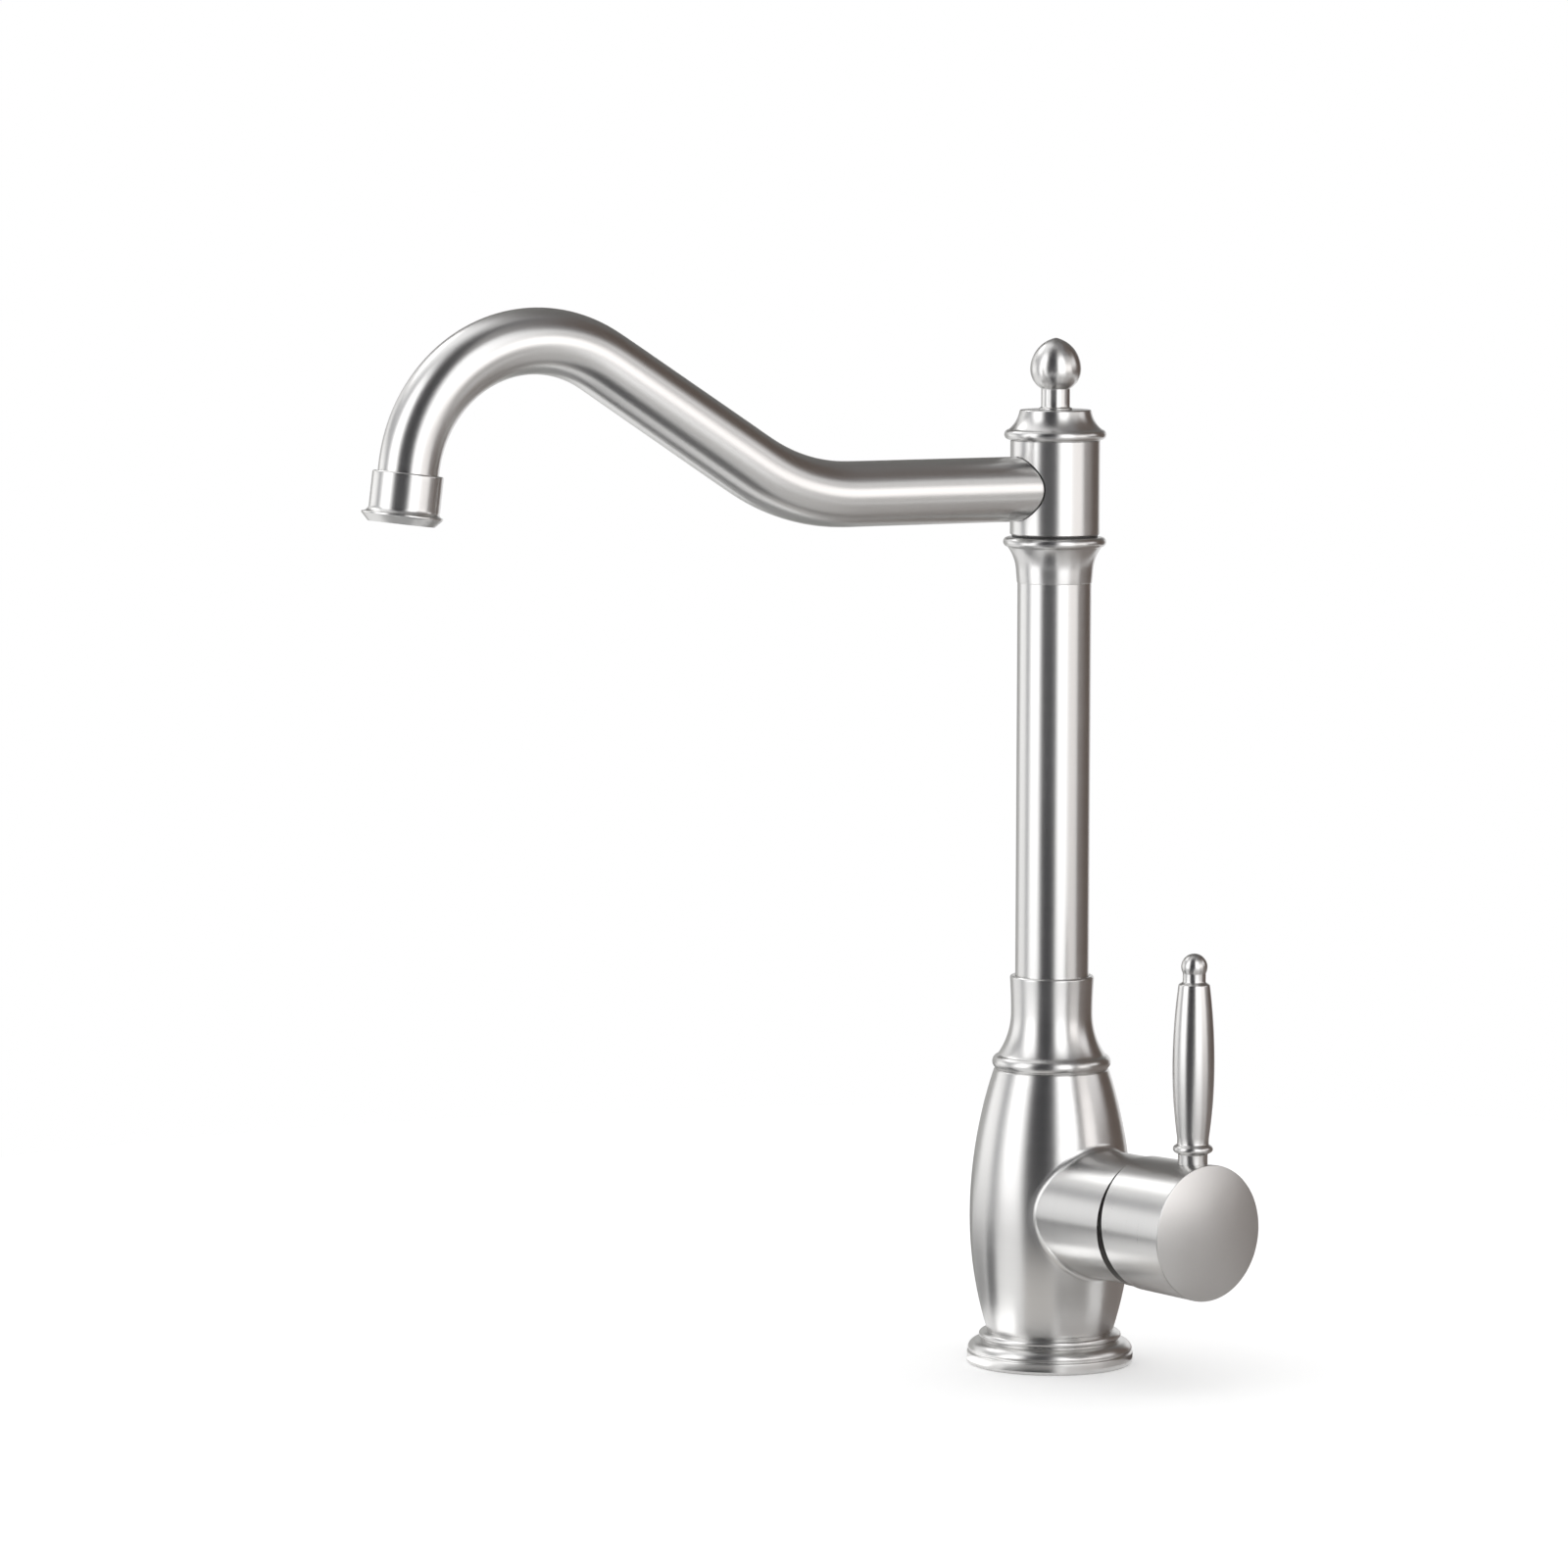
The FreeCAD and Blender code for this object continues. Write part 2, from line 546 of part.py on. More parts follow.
# ---- cap and finial ---------------------------------------------------------------------------
def top_cap():
    """Coved cap with a bead, hollow over the circlip, threaded for the finial."""
    socket = HEAD_RADIUS - 1.2 + SEAT_GAP
    bead = CAP_BEAD_RADIUS - 1.9
    bead_top = HEAD_TOP + CAP_BEAD
    return turned([
        (HEAD_RADIUS - 0.3, HEAD_TOP), (HEAD_RADIUS - 0.3, HEAD_TOP + 0.5),
        (bead, bead_top, 1.95), (CAP_TOP_RADIUS, CAP_TOP - 0.3, -0.7),
        (CAP_TOP_RADIUS - 0.3, CAP_TOP), (FINIAL_STUD_RADIUS + SEAT_GAP, CAP_TOP),
        (FINIAL_STUD_RADIUS + SEAT_GAP, CAP_TOP - CAP_TOP_WALL),
        (CAP_TOP_RADIUS - 2.5, CAP_TOP - CAP_TOP_WALL),
        (HEAD_RECESS_RADIUS, HEAD_TOP + HEAD_NECK), (socket, HEAD_TOP + HEAD_NECK),
        (socket, HEAD_TOP)])


def finial():
    """Egg-shaped acorn on a stem, with the stud that screws into the cap."""
    base = CAP_TOP
    stem_top = (FINIAL_STEM_RADIUS, base + FINIAL_STEM)
    crest = (FINIAL_RADIUS, base + FINIAL_STEM + FINIAL_WIDEST)
    top = base + FINIAL_STEM + FINIAL_HEIGHT
    tip = (FINIAL_TIP_RADIUS, top - FINIAL_TIP)
    return turned([
        (0, base - CAP_TOP_WALL), (FINIAL_STUD_RADIUS, base - CAP_TOP_WALL),
        (FINIAL_STUD_RADIUS, base), (FINIAL_STEM_RADIUS + 0.9, base),
        (FINIAL_STEM_RADIUS + 0.9, base + 0.5), (FINIAL_STEM_RADIUS, base + 0.9),
        stem_top, crest + (upright_bulge(crest, stem_top),), tip + (upright_bulge(crest, tip),),
        (0, top, crown_bulge(FINIAL_TIP_RADIUS, FINIAL_TIP))])


# ---- spout ------------------------------------------------------------------------------------
def in_spout_plane(reach, height):
    return Vector(-reach, 0, height)


def spout_stations():
    """Points and directions along the spout's centreline, from the body's axis to the collar."""
    slant = SLANT
    fall = FALL
    start = in_spout_plane(0, SPOUT_LEVEL)
    bend_start = in_spout_plane(LEVEL_RUN, SPOUT_LEVEL)
    first_centre = in_spout_plane(LEVEL_RUN, SPOUT_LEVEL + FIRST_BEND)
    bend_end = first_centre + in_spout_plane(math.sin(slant), -math.cos(slant)) * FIRST_BEND
    bend_middle = first_centre + in_spout_plane(math.sin(slant / 2), -math.cos(slant / 2)) * FIRST_BEND
    crown_start = bend_end + in_spout_plane(math.cos(slant), math.sin(slant)) * SLANT_RUN
    crown_centre = crown_start + in_spout_plane(math.sin(slant), -math.cos(slant)) * CROWN_BEND
    half = (fall - slant) / 2
    crown_middle = crown_centre + in_spout_plane(math.sin(half), math.cos(half)) * CROWN_BEND
    crown_end = crown_centre + in_spout_plane(math.sin(fall), math.cos(fall)) * CROWN_BEND
    down = in_spout_plane(math.cos(fall), -math.sin(fall))
    return {"start": start, "bend": (bend_start, bend_middle, bend_end),
            "crown": (crown_start, crown_middle, crown_end), "outlet": crown_end + down * FALL_RUN,
            "down": down,
            "slant": in_spout_plane(math.cos(slant), math.sin(slant)), "level": in_spout_plane(1, 0)}


def bent_piece(points, start_direction, end_direction, start_radius, end_radius):
    """A round bar along an arc through three points, tapering from one radius to the other."""
    spine = Part.Wire(Part.Arc(*points).toShape())
    pipe = Part.BRepOffsetAPI.MakePipeShell(spine)
    pipe.add(Part.Wire(Part.makeCircle(start_radius, points[0], start_direction)))
    pipe.add(Part.Wire(Part.makeCircle(end_radius, points[2], end_direction)))
    pipe.build()
    pipe.makeSolid()
    return pipe.shape()


def straight_piece(start, end, start_radius, end_radius):
    """A round bar between two points, tapering if its radii differ."""
    length = (end - start).Length
    if abs(start_radius - end_radius) < 1e-6:
        return Part.makeCylinder(start_radius, length, start, end - start)
    return Part.makeCone(start_radius, end_radius, length, start, end - start)


def spout_bar(inset, end_length):
    """The spout as a solid bar whose radii are drawn in by inset."""
    at = spout_stations()
    level, swell, end = SPOUT_RADIUS - inset, SPOUT_SWELL - inset, SPOUT_END_RADIUS - inset
    crown = (swell + level) / 2
    tip = at["outlet"] + at["down"] * end_length
    pieces = [
        straight_piece(at["start"], at["bend"][0], level, level),
        bent_piece(at["bend"], at["level"], at["slant"], level, swell),
        straight_piece(at["bend"][2], at["crown"][0], swell, crown),
        bent_piece(at["crown"], at["slant"], at["down"], crown, end),
        straight_piece(at["crown"][2], tip, end, end)]
    return pieces[0].fuse(pieces[1:])


def spout_tube():
    """Swan-neck tube: level, up the slant, over the crown and down to the collar."""
    outside = spout_bar(0, COLLAR_SOCKET - 0.1)
    inside = spout_bar(SPOUT_WALL, COLLAR_SOCKET + 1)
    return outside.cut(inside).cut(head_core(HEAD_SOCKET_RADIUS + SEAT_GAP))


def at_outlet(shape):
    """Place a shape made with Z down the outlet and its origin at the collar's upper rim."""
    at = spout_stations()
    return in_place(shape, at["outlet"], at["down"])


def outlet_collar():
    """Collar on the spout's end with a flared lip, bored for the aerator."""
    flare = COLLAR_LENGTH + 1.7
    bottom = COLLAR_LENGTH + LIP_HEIGHT
    return at_outlet(turned([
        (COLLAR_RADIUS - 0.4, 0), (COLLAR_RADIUS, 0.4), (COLLAR_RADIUS, COLLAR_LENGTH),
        (LIP_RADIUS, flare, -0.5), (LIP_RADIUS, flare + 0.6), (COLLAR_RADIUS - 0.3, bottom),
        (AERATOR_RADIUS + AERATOR_RIM / 2 + SEAT_GAP, bottom),
        (AERATOR_RADIUS + SEAT_GAP, bottom - AERATOR_RIM), (AERATOR_RADIUS + SEAT_GAP, COLLAR_SOCKET + 1),
        (SPOUT_END_RADIUS - SPOUT_WALL, COLLAR_SOCKET + 1), (SPOUT_END_RADIUS - SPOUT_WALL, COLLAR_SOCKET),
        (SPOUT_END_RADIUS + SEAT_GAP, COLLAR_SOCKET), (SPOUT_END_RADIUS + SEAT_GAP, 0)]))


def aerator_top():
    return COLLAR_SOCKET + 1 + AERATOR_WASHER


def aerator_bottom():
    return COLLAR_LENGTH + LIP_HEIGHT - AERATOR_RECESS


def aerator_washer():
    return at_outlet(ring(AERATOR_RADIUS - 2.4, AERATOR_RADIUS - 0.1, COLLAR_SOCKET + 1, aerator_top()))


def aerator_ring():
    """Threaded ring that carries the aerator in the collar."""
    return at_outlet(turned([
        (AERATOR_RADIUS, aerator_top()), (AERATOR_RADIUS, aerator_bottom()),
        (AERATOR_RADIUS - 1.8, aerator_bottom()), (AERATOR_RADIUS - 1.8, aerator_bottom() - SCREEN_THICKNESS),
        (AERATOR_RADIUS - 1.1, aerator_bottom() - SCREEN_THICKNESS), (AERATOR_RADIUS - 1.1, aerator_top())]))


def aerator_screen():
    """Round grid at the outlet."""
    radius = AERATOR_RADIUS - 1.8 - SEAT_GAP
    top = aerator_bottom() - SCREEN_THICKNESS
    disc = ring(0, radius, top, aerator_bottom())
    count = int((radius - SCREEN_BAR) / SCREEN_PITCH)
    hole = SCREEN_PITCH - SCREEN_BAR
    holes = []
    for i in range(-count, count + 1):
        for j in range(-count, count + 1):
            reach = math.hypot(abs(i) * SCREEN_PITCH + hole / 2, abs(j) * SCREEN_PITCH + hole / 2)
            if reach < radius - 0.5:
                holes.append(block(i * SCREEN_PITCH, j * SCREEN_PITCH, top, hole, hole, SCREEN_THICKNESS))
    return at_outlet(disc.cut(holes))


def aerator_insert():
    """Plastic insert above the screen, with a ring of jets."""
    radius = AERATOR_RADIUS - 1.1 - SEAT_GAP
    bottom = aerator_bottom() - SCREEN_THICKNESS
    cup = turned([(radius, aerator_top()), (radius, bottom), (radius - 1.0, bottom),
                  (radius - 1.0, aerator_top() + 1.6), (0, aerator_top() + 1.6), (0, aerator_top())])
    jets = []
    for i in range(8):
        angle = math.radians(45 * i)
        centre = Vector(math.cos(angle), math.sin(angle), 0) * (0.55 * radius)
        jets.append(Part.makeCylinder(0.7, 3, centre + UP * (aerator_top() - 0.5)))
    return at_outlet(cup.cut(jets))


# ---- cartridge --------------------------------------------------------------------------------
# Distances here run outward from the body's axis along the handle's axis.
BASE_TOP = SEAT_DISTANCE + FACE_GAP + BASE_THICKNESS
FIXED_TOP = BASE_TOP + DISC_THICKNESS
MOVING_BOTTOM = FIXED_TOP + FACE_GAP
MOVING_TOP = MOVING_BOTTOM + DISC_THICKNESS
CARRIER_TOP = MOVING_TOP + CARRIER_THICKNESS
ROTOR_BOTTOM = CARRIER_TOP + FREE_GAP
PIVOT = ROTOR_BOTTOM + PIVOT_FROM_ROTOR
ROTOR_TOP = ROTOR_BOTTOM + ROTOR_LENGTH
SHELL_STEP = ROTOR_BOTTOM + ROTOR_FLANGE + FACE_GAP
SHELL_TOP = SHELL_STEP + SHELL_TOP_WALL
NUT_RING_TOP = SHELL_TOP + NUT_RING_HEIGHT
BONNET_TOP = NUT_RING_TOP + BONNET_HEIGHT
DISC_TRAVEL = STEM_ARM * math.radians(TILT_RANGE)
FIXED_DISC_RADIUS = SHELL_BORE - SEAT_GAP
ROTOR_FLANGE_RADIUS = SHELL_BORE - RUN_GAP


def port_places():
    """Centres of the two inlet ports and the outlet port, as (up, side)."""
    return [(-PORT_DROP, INLET_SPACING / 2), (-PORT_DROP, -INLET_SPACING / 2), (OUTLET_PORT_RISE, 0)]


def port_radii():
    return [WATERWAY_RADIUS, WATERWAY_RADIUS, OUTLET_WAY_RADIUS - 0.9]


def port_cutters(bottom, top, extra=0.0):
    cutters = []
    for (up, side), radius in zip(port_places(), port_radii()):
        cutters.append(Part.makeCylinder(radius + extra, top - bottom, Vector(up, side, bottom)))
    return cutters


def port_seals():
    """Three rubber rings between the seat and the cartridge's base, as separate solids."""
    bottom = SEAT_DISTANCE
    rings = []
    for (up, side), radius in zip(port_places(), port_radii()):
        outer = Part.makeCylinder(radius + PORT_SEAL_SECTION, PORT_SEAL_SECTION, Vector(up, side, bottom))
        rings.append(outer.cut(Part.makeCylinder(radius, PORT_SEAL_SECTION, Vector(up, side, bottom))))
    return on_handle_side(Part.makeCompound(rings))


def cartridge_base():
    """Floor of the cartridge with its three ports and the seats of their seals."""
    bottom = SEAT_DISTANCE + FACE_GAP
    disc = ring(0, CARTRIDGE_RADIUS, bottom, BASE_TOP)
    seats = port_cutters(bottom, SEAT_DISTANCE + PORT_SEAL_SECTION, PORT_SEAL_SECTION + SEAT_GAP)
    return on_handle_side(disc.cut(port_cutters(bottom, BASE_TOP) + seats))


def fixed_disc():
    """Ceramic disc with three ports. It stands still on the base."""
    disc = ring(0, FIXED_DISC_RADIUS, BASE_TOP, FIXED_TOP)
    return on_handle_side(disc.cut(port_cutters(BASE_TOP, FIXED_TOP, -0.5)))


def moving_disc():
    """Ceramic disc that slides and turns on the fixed one, with a blind mixing pocket."""
    shift = -DISC_TRAVEL / 2
    disc = Part.makeCylinder(MOVING_DISC_RADIUS, DISC_THICKNESS, Vector(shift, 0, MOVING_BOTTOM))
    pocket = Part.makeCylinder(MOVING_DISC_RADIUS - 4.5, DISC_THICKNESS / 2,
                               Vector(shift + 1.5, 0, MOVING_BOTTOM))
    return on_handle_side(disc.cut(pocket))


def disc_carrier():
    """Plate that holds the moving disc, with a rail for the rotor and a hole for the stem's ball."""
    shift = -DISC_TRAVEL / 2
    plate = Part.makeCylinder(MOVING_DISC_RADIUS, CARRIER_THICKNESS, Vector(shift, 0, MOVING_TOP))
    rail = block(shift, 0, CARRIER_TOP, CARRIER_RAIL_LENGTH, CARRIER_RAIL_WIDTH, CARRIER_RAIL)
    hole = Part.makeCylinder(STEM_BALL + 0.3, CARRIER_THICKNESS + CARRIER_RAIL, Vector(0, 0, MOVING_TOP))
    return on_handle_side(plate.fuse(rail).cut(hole))


def cartridge_shell():
    """Cup over the discs, with a running hole for the rotor's neck."""
    neck = ROTOR_RADIUS + RUN_GAP
    return on_handle_side(turned([
        (CARTRIDGE_RADIUS, BASE_TOP), (CARTRIDGE_RADIUS, SHELL_TOP), (neck, SHELL_TOP),
        (neck, SHELL_STEP), (SHELL_BORE, SHELL_STEP), (SHELL_BORE, BASE_TOP)]))


def stem_sweep(clear):
    """The space the stem needs inside the rotor, from shut to open, seen from the side."""
    tilt = math.radians(TILT_RANGE)
    half = STEM_SIZE / 2 + clear
    boss = STEM_BOSS + clear
    reach = ROTOR_TOP - PIVOT + 1
    arm = PIVOT - ROTOR_BOTTOM + 1
    drop = reach * math.tan(tilt) + half / math.cos(tilt)
    lift = arm * math.tan(tilt) + (STEM_BALL + clear) / math.cos(tilt)
    corners = [(-boss, PIVOT - arm), (max(boss, lift), PIVOT - arm), (boss, PIVOT + boss / 2),
               (half, PIVOT + boss), (half, PIVOT + reach), (-drop, PIVOT + reach), (-boss, PIVOT)]
    points = [Vector(up, -half, out) for up, out in corners]
    return Part.Face(Part.makePolygon(points + points[:1])).extrude(Vector(0, 2 * half, 0))


def cartridge_rotor():
    """Turning guide of the cartridge: flange, neck, pin hole, stem slot and rail groove."""
    body = turned([
        (ROTOR_FLANGE_RADIUS, ROTOR_BOTTOM), (ROTOR_FLANGE_RADIUS, ROTOR_BOTTOM + ROTOR_FLANGE),
        (ROTOR_RADIUS, ROTOR_BOTTOM + ROTOR_FLANGE), (ROTOR_RADIUS, ROTOR_TOP - 0.6),
        (ROTOR_RADIUS - 0.6, ROTOR_TOP), (0, ROTOR_TOP), (0, ROTOR_BOTTOM)])
    groove = block(0, 0, ROTOR_BOTTOM - 1, 2 * ROTOR_FLANGE_RADIUS + 2, CARRIER_RAIL_WIDTH + 2 * RUN_GAP,
                   CARRIER_RAIL + 1)
    pin_hole = Part.makeCylinder(PIN_RADIUS + SEAT_GAP, 2 * ROTOR_RADIUS, Vector(0, -ROTOR_RADIUS, PIVOT),
                                 Vector(0, 1, 0))
    return on_handle_side(body.cut([groove, pin_hole, stem_sweep(0.2)]))


def pivot_pin():
    """Pin through the rotor that the stem tilts on."""
    length = 2 * (ROTOR_RADIUS - FREE_GAP)
    pin = Part.makeCylinder(PIN_RADIUS, length, Vector(0, -length / 2, PIVOT), Vector(0, 1, 0))
    return on_handle_side(pin)


def cartridge_stem():
    """Tilting stem: square end for the hub, boss on the pin, and an arm that ends in a ball."""
    size = STEM_SIZE
    square = block(0, 0, PIVOT, size, size, STEM_LENGTH)
    boss = Part.makeCylinder(STEM_BOSS, size, Vector(0, -size / 2, PIVOT), Vector(0, 1, 0))
    arm = Part.makeCylinder(STEM_BALL - 0.6, STEM_ARM, Vector(0, 0, PIVOT - STEM_ARM))
    ball = Part.makeSphere(STEM_BALL, Vector(0, 0, PIVOT - STEM_ARM))
    hole = Part.makeCylinder(PIN_RADIUS + RUN_GAP, size, Vector(0, -size / 2, PIVOT), Vector(0, 1, 0))
    return on_handle_side(square.fuse([boss, arm, ball]).cut(hole))


def cartridge_nut():
    """Threaded ring that holds the cartridge down, with two spanner slots."""
    body = ring(NUT_RING_BORE, CARTRIDGE_BORE - SEAT_GAP, SHELL_TOP, NUT_RING_TOP)
    slot = block(0, 0, NUT_RING_TOP - 2.5, 2 * CARTRIDGE_BORE + 2, 4.0, 3.0)
    return on_handle_side(body.cut(slot))


def bonnet():
    """Dark trim ring over the nut, seen in the gap behind the hub."""
    radius = CARTRIDGE_BORE - SEAT_GAP
    shoulder = BONNET_TOP - 2.6
    inner_top = BONNET_TOP - BONNET_WALL
    return on_handle_side(turned([
        (radius, NUT_RING_TOP), (radius, shoulder), (BONNET_HOLE + 1.2, BONNET_TOP, 0.7),
        (BONNET_HOLE, BONNET_TOP), (BONNET_HOLE, inner_top), (radius - BONNET_WALL - 1.4, inner_top),
        (radius - BONNET_WALL, inner_top - 1.4), (radius - BONNET_WALL, NUT_RING_TOP)]))


# ---- hub and lever ----------------------------------------------------------------------------
def hub_radius(distance):
    """The hub's outer radius at a distance from the body's axis."""
    share = (distance - BRANCH_LENGTH) / (HUB_FACE - BRANCH_LENGTH)
    return HUB_REAR_RADIUS + share * (HUB_FACE_RADIUS - HUB_REAR_RADIUS)


def hub_rear_space():
    """Everything behind the hub's slanted rear cut."""
    slope = math.atan2(HUB_BOTTOM_GAP - HUB_TOP_GAP, 2 * HUB_REAR_RADIUS)
    width = 4 * HUB_REAR_RADIUS
    space = block(0, 0, -HUB_FACE, width, width, HUB_FACE)
    space.rotate(Vector(0, 0, 0), Vector(0, 1, 0), math.degrees(slope))
    middle = BRANCH_LENGTH + (HUB_TOP_GAP + HUB_BOTTOM_GAP) / 2
    space.translate(Vector(0, 0, middle))
    return space


def handle_hub():
    """Round cap on the stem: thin wall, domed face, and a boss with the stem's square socket."""
    inner = HUB_REAR_RADIUS - HUB_WALL
    rim = 0.5
    shell = turned([
        (hub_radius(BRANCH_LENGTH), BRANCH_LENGTH), (hub_radius(HUB_FACE) - 0.01, HUB_FACE - rim),
        (HUB_FACE_RADIUS - rim, HUB_FACE, 0.15),
        (0, HUB_FACE + HUB_DOME, crown_bulge(HUB_FACE_RADIUS - rim, HUB_DOME)),
        (0, HUB_BOSS_START), (HUB_BOSS_RADIUS, HUB_BOSS_START), (HUB_BOSS_RADIUS, HUB_HOLLOW_END - 1),
        (HUB_BOSS_RADIUS + 1, HUB_HOLLOW_END), (inner - 1, HUB_HOLLOW_END), (inner, HUB_HOLLOW_END - 1),
        (inner, BRANCH_LENGTH)])
    socket_size = STEM_SIZE + 2 * FACE_GAP
    socket_end = PIVOT + STEM_LENGTH + FREE_GAP
    socket = block(0, 0, HUB_BOSS_START - 1, socket_size, socket_size, socket_end - HUB_BOSS_START + 1)
    screw_hole = Part.makeCylinder(SET_SCREW_RADIUS + SEAT_GAP, HUB_REAR_RADIUS + 5,
                                   Vector(0, 0, set_screw_place()), Vector(-1, 0, 0))
    stud_hole = Part.makeCylinder(LEVER_STUD_RADIUS + SEAT_GAP, LEVER_STUD + 5,
                                  Vector(lever_foot() - LEVER_STUD, 0, lever_place()), Vector(1, 0, 0))
    return on_handle_side(shell.cut([socket, screw_hole, stud_hole, hub_rear_space(), lever_spot_face()]))


def set_screw_place():
    return PIVOT + STEM_LENGTH - SET_SCREW_INSET


def lever_place():
    return HUB_FACE - LEVER_FROM_FACE


def lever_foot():
    """Height of the lever's flat seat above the hub's axis."""
    return hub_radius(lever_place()) - 0.55


def lever_spot_face():
    """Flat seat milled for the lever's foot."""
    return Part.makeCylinder(LEVER_FOOT_RADIUS + SEAT_GAP, 5, Vector(lever_foot(), 0, lever_place()),
                             Vector(1, 0, 0))


def set_screw():
    """Socket screw that clamps the stem from below."""
    start = STEM_SIZE / 2 + FACE_GAP
    place = set_screw_place()
    body = Part.makeCylinder(SET_SCREW_RADIUS, SET_SCREW_LENGTH, Vector(-start, 0, place), Vector(-1, 0, 0))
    corners = [Vector(-start - SET_SCREW_LENGTH, 1.4 * math.sin(math.radians(60 * i)),
                      place + 1.4 * math.cos(math.radians(60 * i))) for i in range(7)]
    key = Part.Face(Part.makePolygon(corners)).extrude(Vector(3.0, 0, 0))
    return on_handle_side(body.cut(key))


def lever_spindle():
    """Turned lever: foot, bead, long spindle, neck and ball, with the stud that screws into the hub."""
    bead = LEVER_BEAD_PLACE
    waist = (LEVER_WAIST_RADIUS, LEVER_WAIST_PLACE)
    belly = (LEVER_BELLY_RADIUS, LEVER_BELLY_PLACE)
    neck_top = LEVER_HEIGHT - LEVER_BALL
    shoulder = (LEVER_SHOULDER_RADIUS, neck_top - LEVER_NECK)
    spindle = turned([
        (0, -LEVER_STUD), (LEVER_STUD_RADIUS, -LEVER_STUD), (LEVER_STUD_RADIUS, 0),
        (LEVER_FOOT_RADIUS, 0), (LEVER_FOOT_RADIUS, bead - 2.2), (LEVER_BEAD_RADIUS - 0.6, bead - 1.6),
        (LEVER_BEAD_RADIUS - 0.6, bead + 0.6, 0.6), (LEVER_WAIST_RADIUS, bead + 1.2), waist,
        belly + (upright_bulge(belly, waist),), shoulder + (upright_bulge(belly, shoulder),),
        (LEVER_NECK_RADIUS, neck_top - LEVER_NECK + 0.9), (LEVER_NECK_RADIUS, neck_top),
        (0, LEVER_HEIGHT, crown_bulge(LEVER_NECK_RADIUS, LEVER_BALL))])
    spindle.translate(OUT * lever_place() + UP * (HANDLE_HEIGHT + lever_foot()))
    return spindle


NODES = {
    "base_flange": base_flange, "base_seal": base_seal, "threaded_shank": threaded_shank,
    "rubber_washer": lambda: deck_washer(-DECK_THICKNESS, RUBBER_THICKNESS),
    "steel_washer": lambda: deck_washer(-DECK_THICKNESS - RUBBER_THICKNESS, STEEL_THICKNESS),
    "mounting_nut": mounting_nut, "barrel_body": barrel_body, "inlet_manifold": inlet_manifold,
    "neck_sleeve": neck_sleeve, "riser_tube": riser_tube, "riser_top_collar": riser_top_collar,
    "swivel_spigot": swivel_spigot, "spigot_orings": spigot_orings, "glide_ring": glide_ring,
    "thrust_washer": thrust_washer, "spout_circlip": spout_circlip, "swivel_head": swivel_head,
    "top_cap": top_cap, "finial": finial, "spout_tube": spout_tube, "outlet_collar": outlet_collar,
    "aerator_washer": aerator_washer, "aerator_ring": aerator_ring, "aerator_screen": aerator_screen,
    "aerator_insert": aerator_insert, "port_seals": port_seals, "cartridge_base": cartridge_base,
    "fixed_disc": fixed_disc, "moving_disc": moving_disc, "disc_carrier": disc_carrier,
    "cartridge_shell": cartridge_shell, "cartridge_rotor": cartridge_rotor, "pivot_pin": pivot_pin,
    "cartridge_stem": cartridge_stem, "cartridge_nut": cartridge_nut, "bonnet": bonnet,
    "handle_hub": handle_hub, "set_screw": set_screw, "lever_spindle": lever_spindle}

os.makedirs("parts", exist_ok=True)
for node, make in NODES.items():
    save(node, make())
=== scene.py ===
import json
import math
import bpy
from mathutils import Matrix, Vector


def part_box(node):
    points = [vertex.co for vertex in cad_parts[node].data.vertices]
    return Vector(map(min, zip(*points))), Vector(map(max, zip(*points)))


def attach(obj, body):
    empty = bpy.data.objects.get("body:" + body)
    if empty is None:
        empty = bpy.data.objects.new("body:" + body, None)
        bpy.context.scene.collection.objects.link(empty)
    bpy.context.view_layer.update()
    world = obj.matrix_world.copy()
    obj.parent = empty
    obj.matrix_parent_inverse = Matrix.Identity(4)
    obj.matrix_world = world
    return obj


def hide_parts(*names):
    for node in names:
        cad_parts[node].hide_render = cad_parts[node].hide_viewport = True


bl_info = {
    "name": "Gooseneck Bar Faucet",
    "version": (1, 0, 0),
    "blender": (4, 2, 0),
    "location": "View3D > Sidebar > Faucet",
    "description": "Dresses a bar faucet's solids in satin steel and sets up its studio",
    "category": "Object",
}

import bpy
import numpy as np
from mathutils import Vector

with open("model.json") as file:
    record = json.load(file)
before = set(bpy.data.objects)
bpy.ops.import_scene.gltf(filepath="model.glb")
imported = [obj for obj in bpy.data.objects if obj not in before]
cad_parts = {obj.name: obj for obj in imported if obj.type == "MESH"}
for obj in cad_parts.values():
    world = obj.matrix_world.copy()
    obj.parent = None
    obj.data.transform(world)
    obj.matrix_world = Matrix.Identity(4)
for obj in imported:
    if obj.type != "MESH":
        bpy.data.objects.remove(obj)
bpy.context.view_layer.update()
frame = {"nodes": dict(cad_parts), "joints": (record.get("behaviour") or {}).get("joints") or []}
MM = 0.001
FULL_TURN = 2 * np.pi
UP = Vector((0.0, 0.0, 1.0))

# How finely outlines are drawn
ARC_POINTS = 64         # samples on each stretch of an outline
BELL_REACH = 16         # samples that the rounding averages on each side
BELL_WIDTH = 4.0        # samples to the edge softness
ROW_LENGTH = 1.6 * MM   # longest run from one row of points to the next
ROW_TURN = 0.16         # widest turn from one row to the next, in radians

# Places on the solids that shapes and finishes here have to meet
SPOUT_LEVEL = 302.9 * MM            # height of the spout's level run
HEAD_RADIUS = 15.4 * MM             # round side of the swivel head
BRANCH_FILLET = (0.0226, 0.0246)    # from the side housing's side to the belly's, off its axis
BRANCH_ROOT = (0.012, 0.016)        # where the side housing leaves the belly, along its axis
HUB_FACE = (0.0808, 0.0812)         # the rim of the hub's face, along the handle's axis
DECK_HOLE = 0.0175

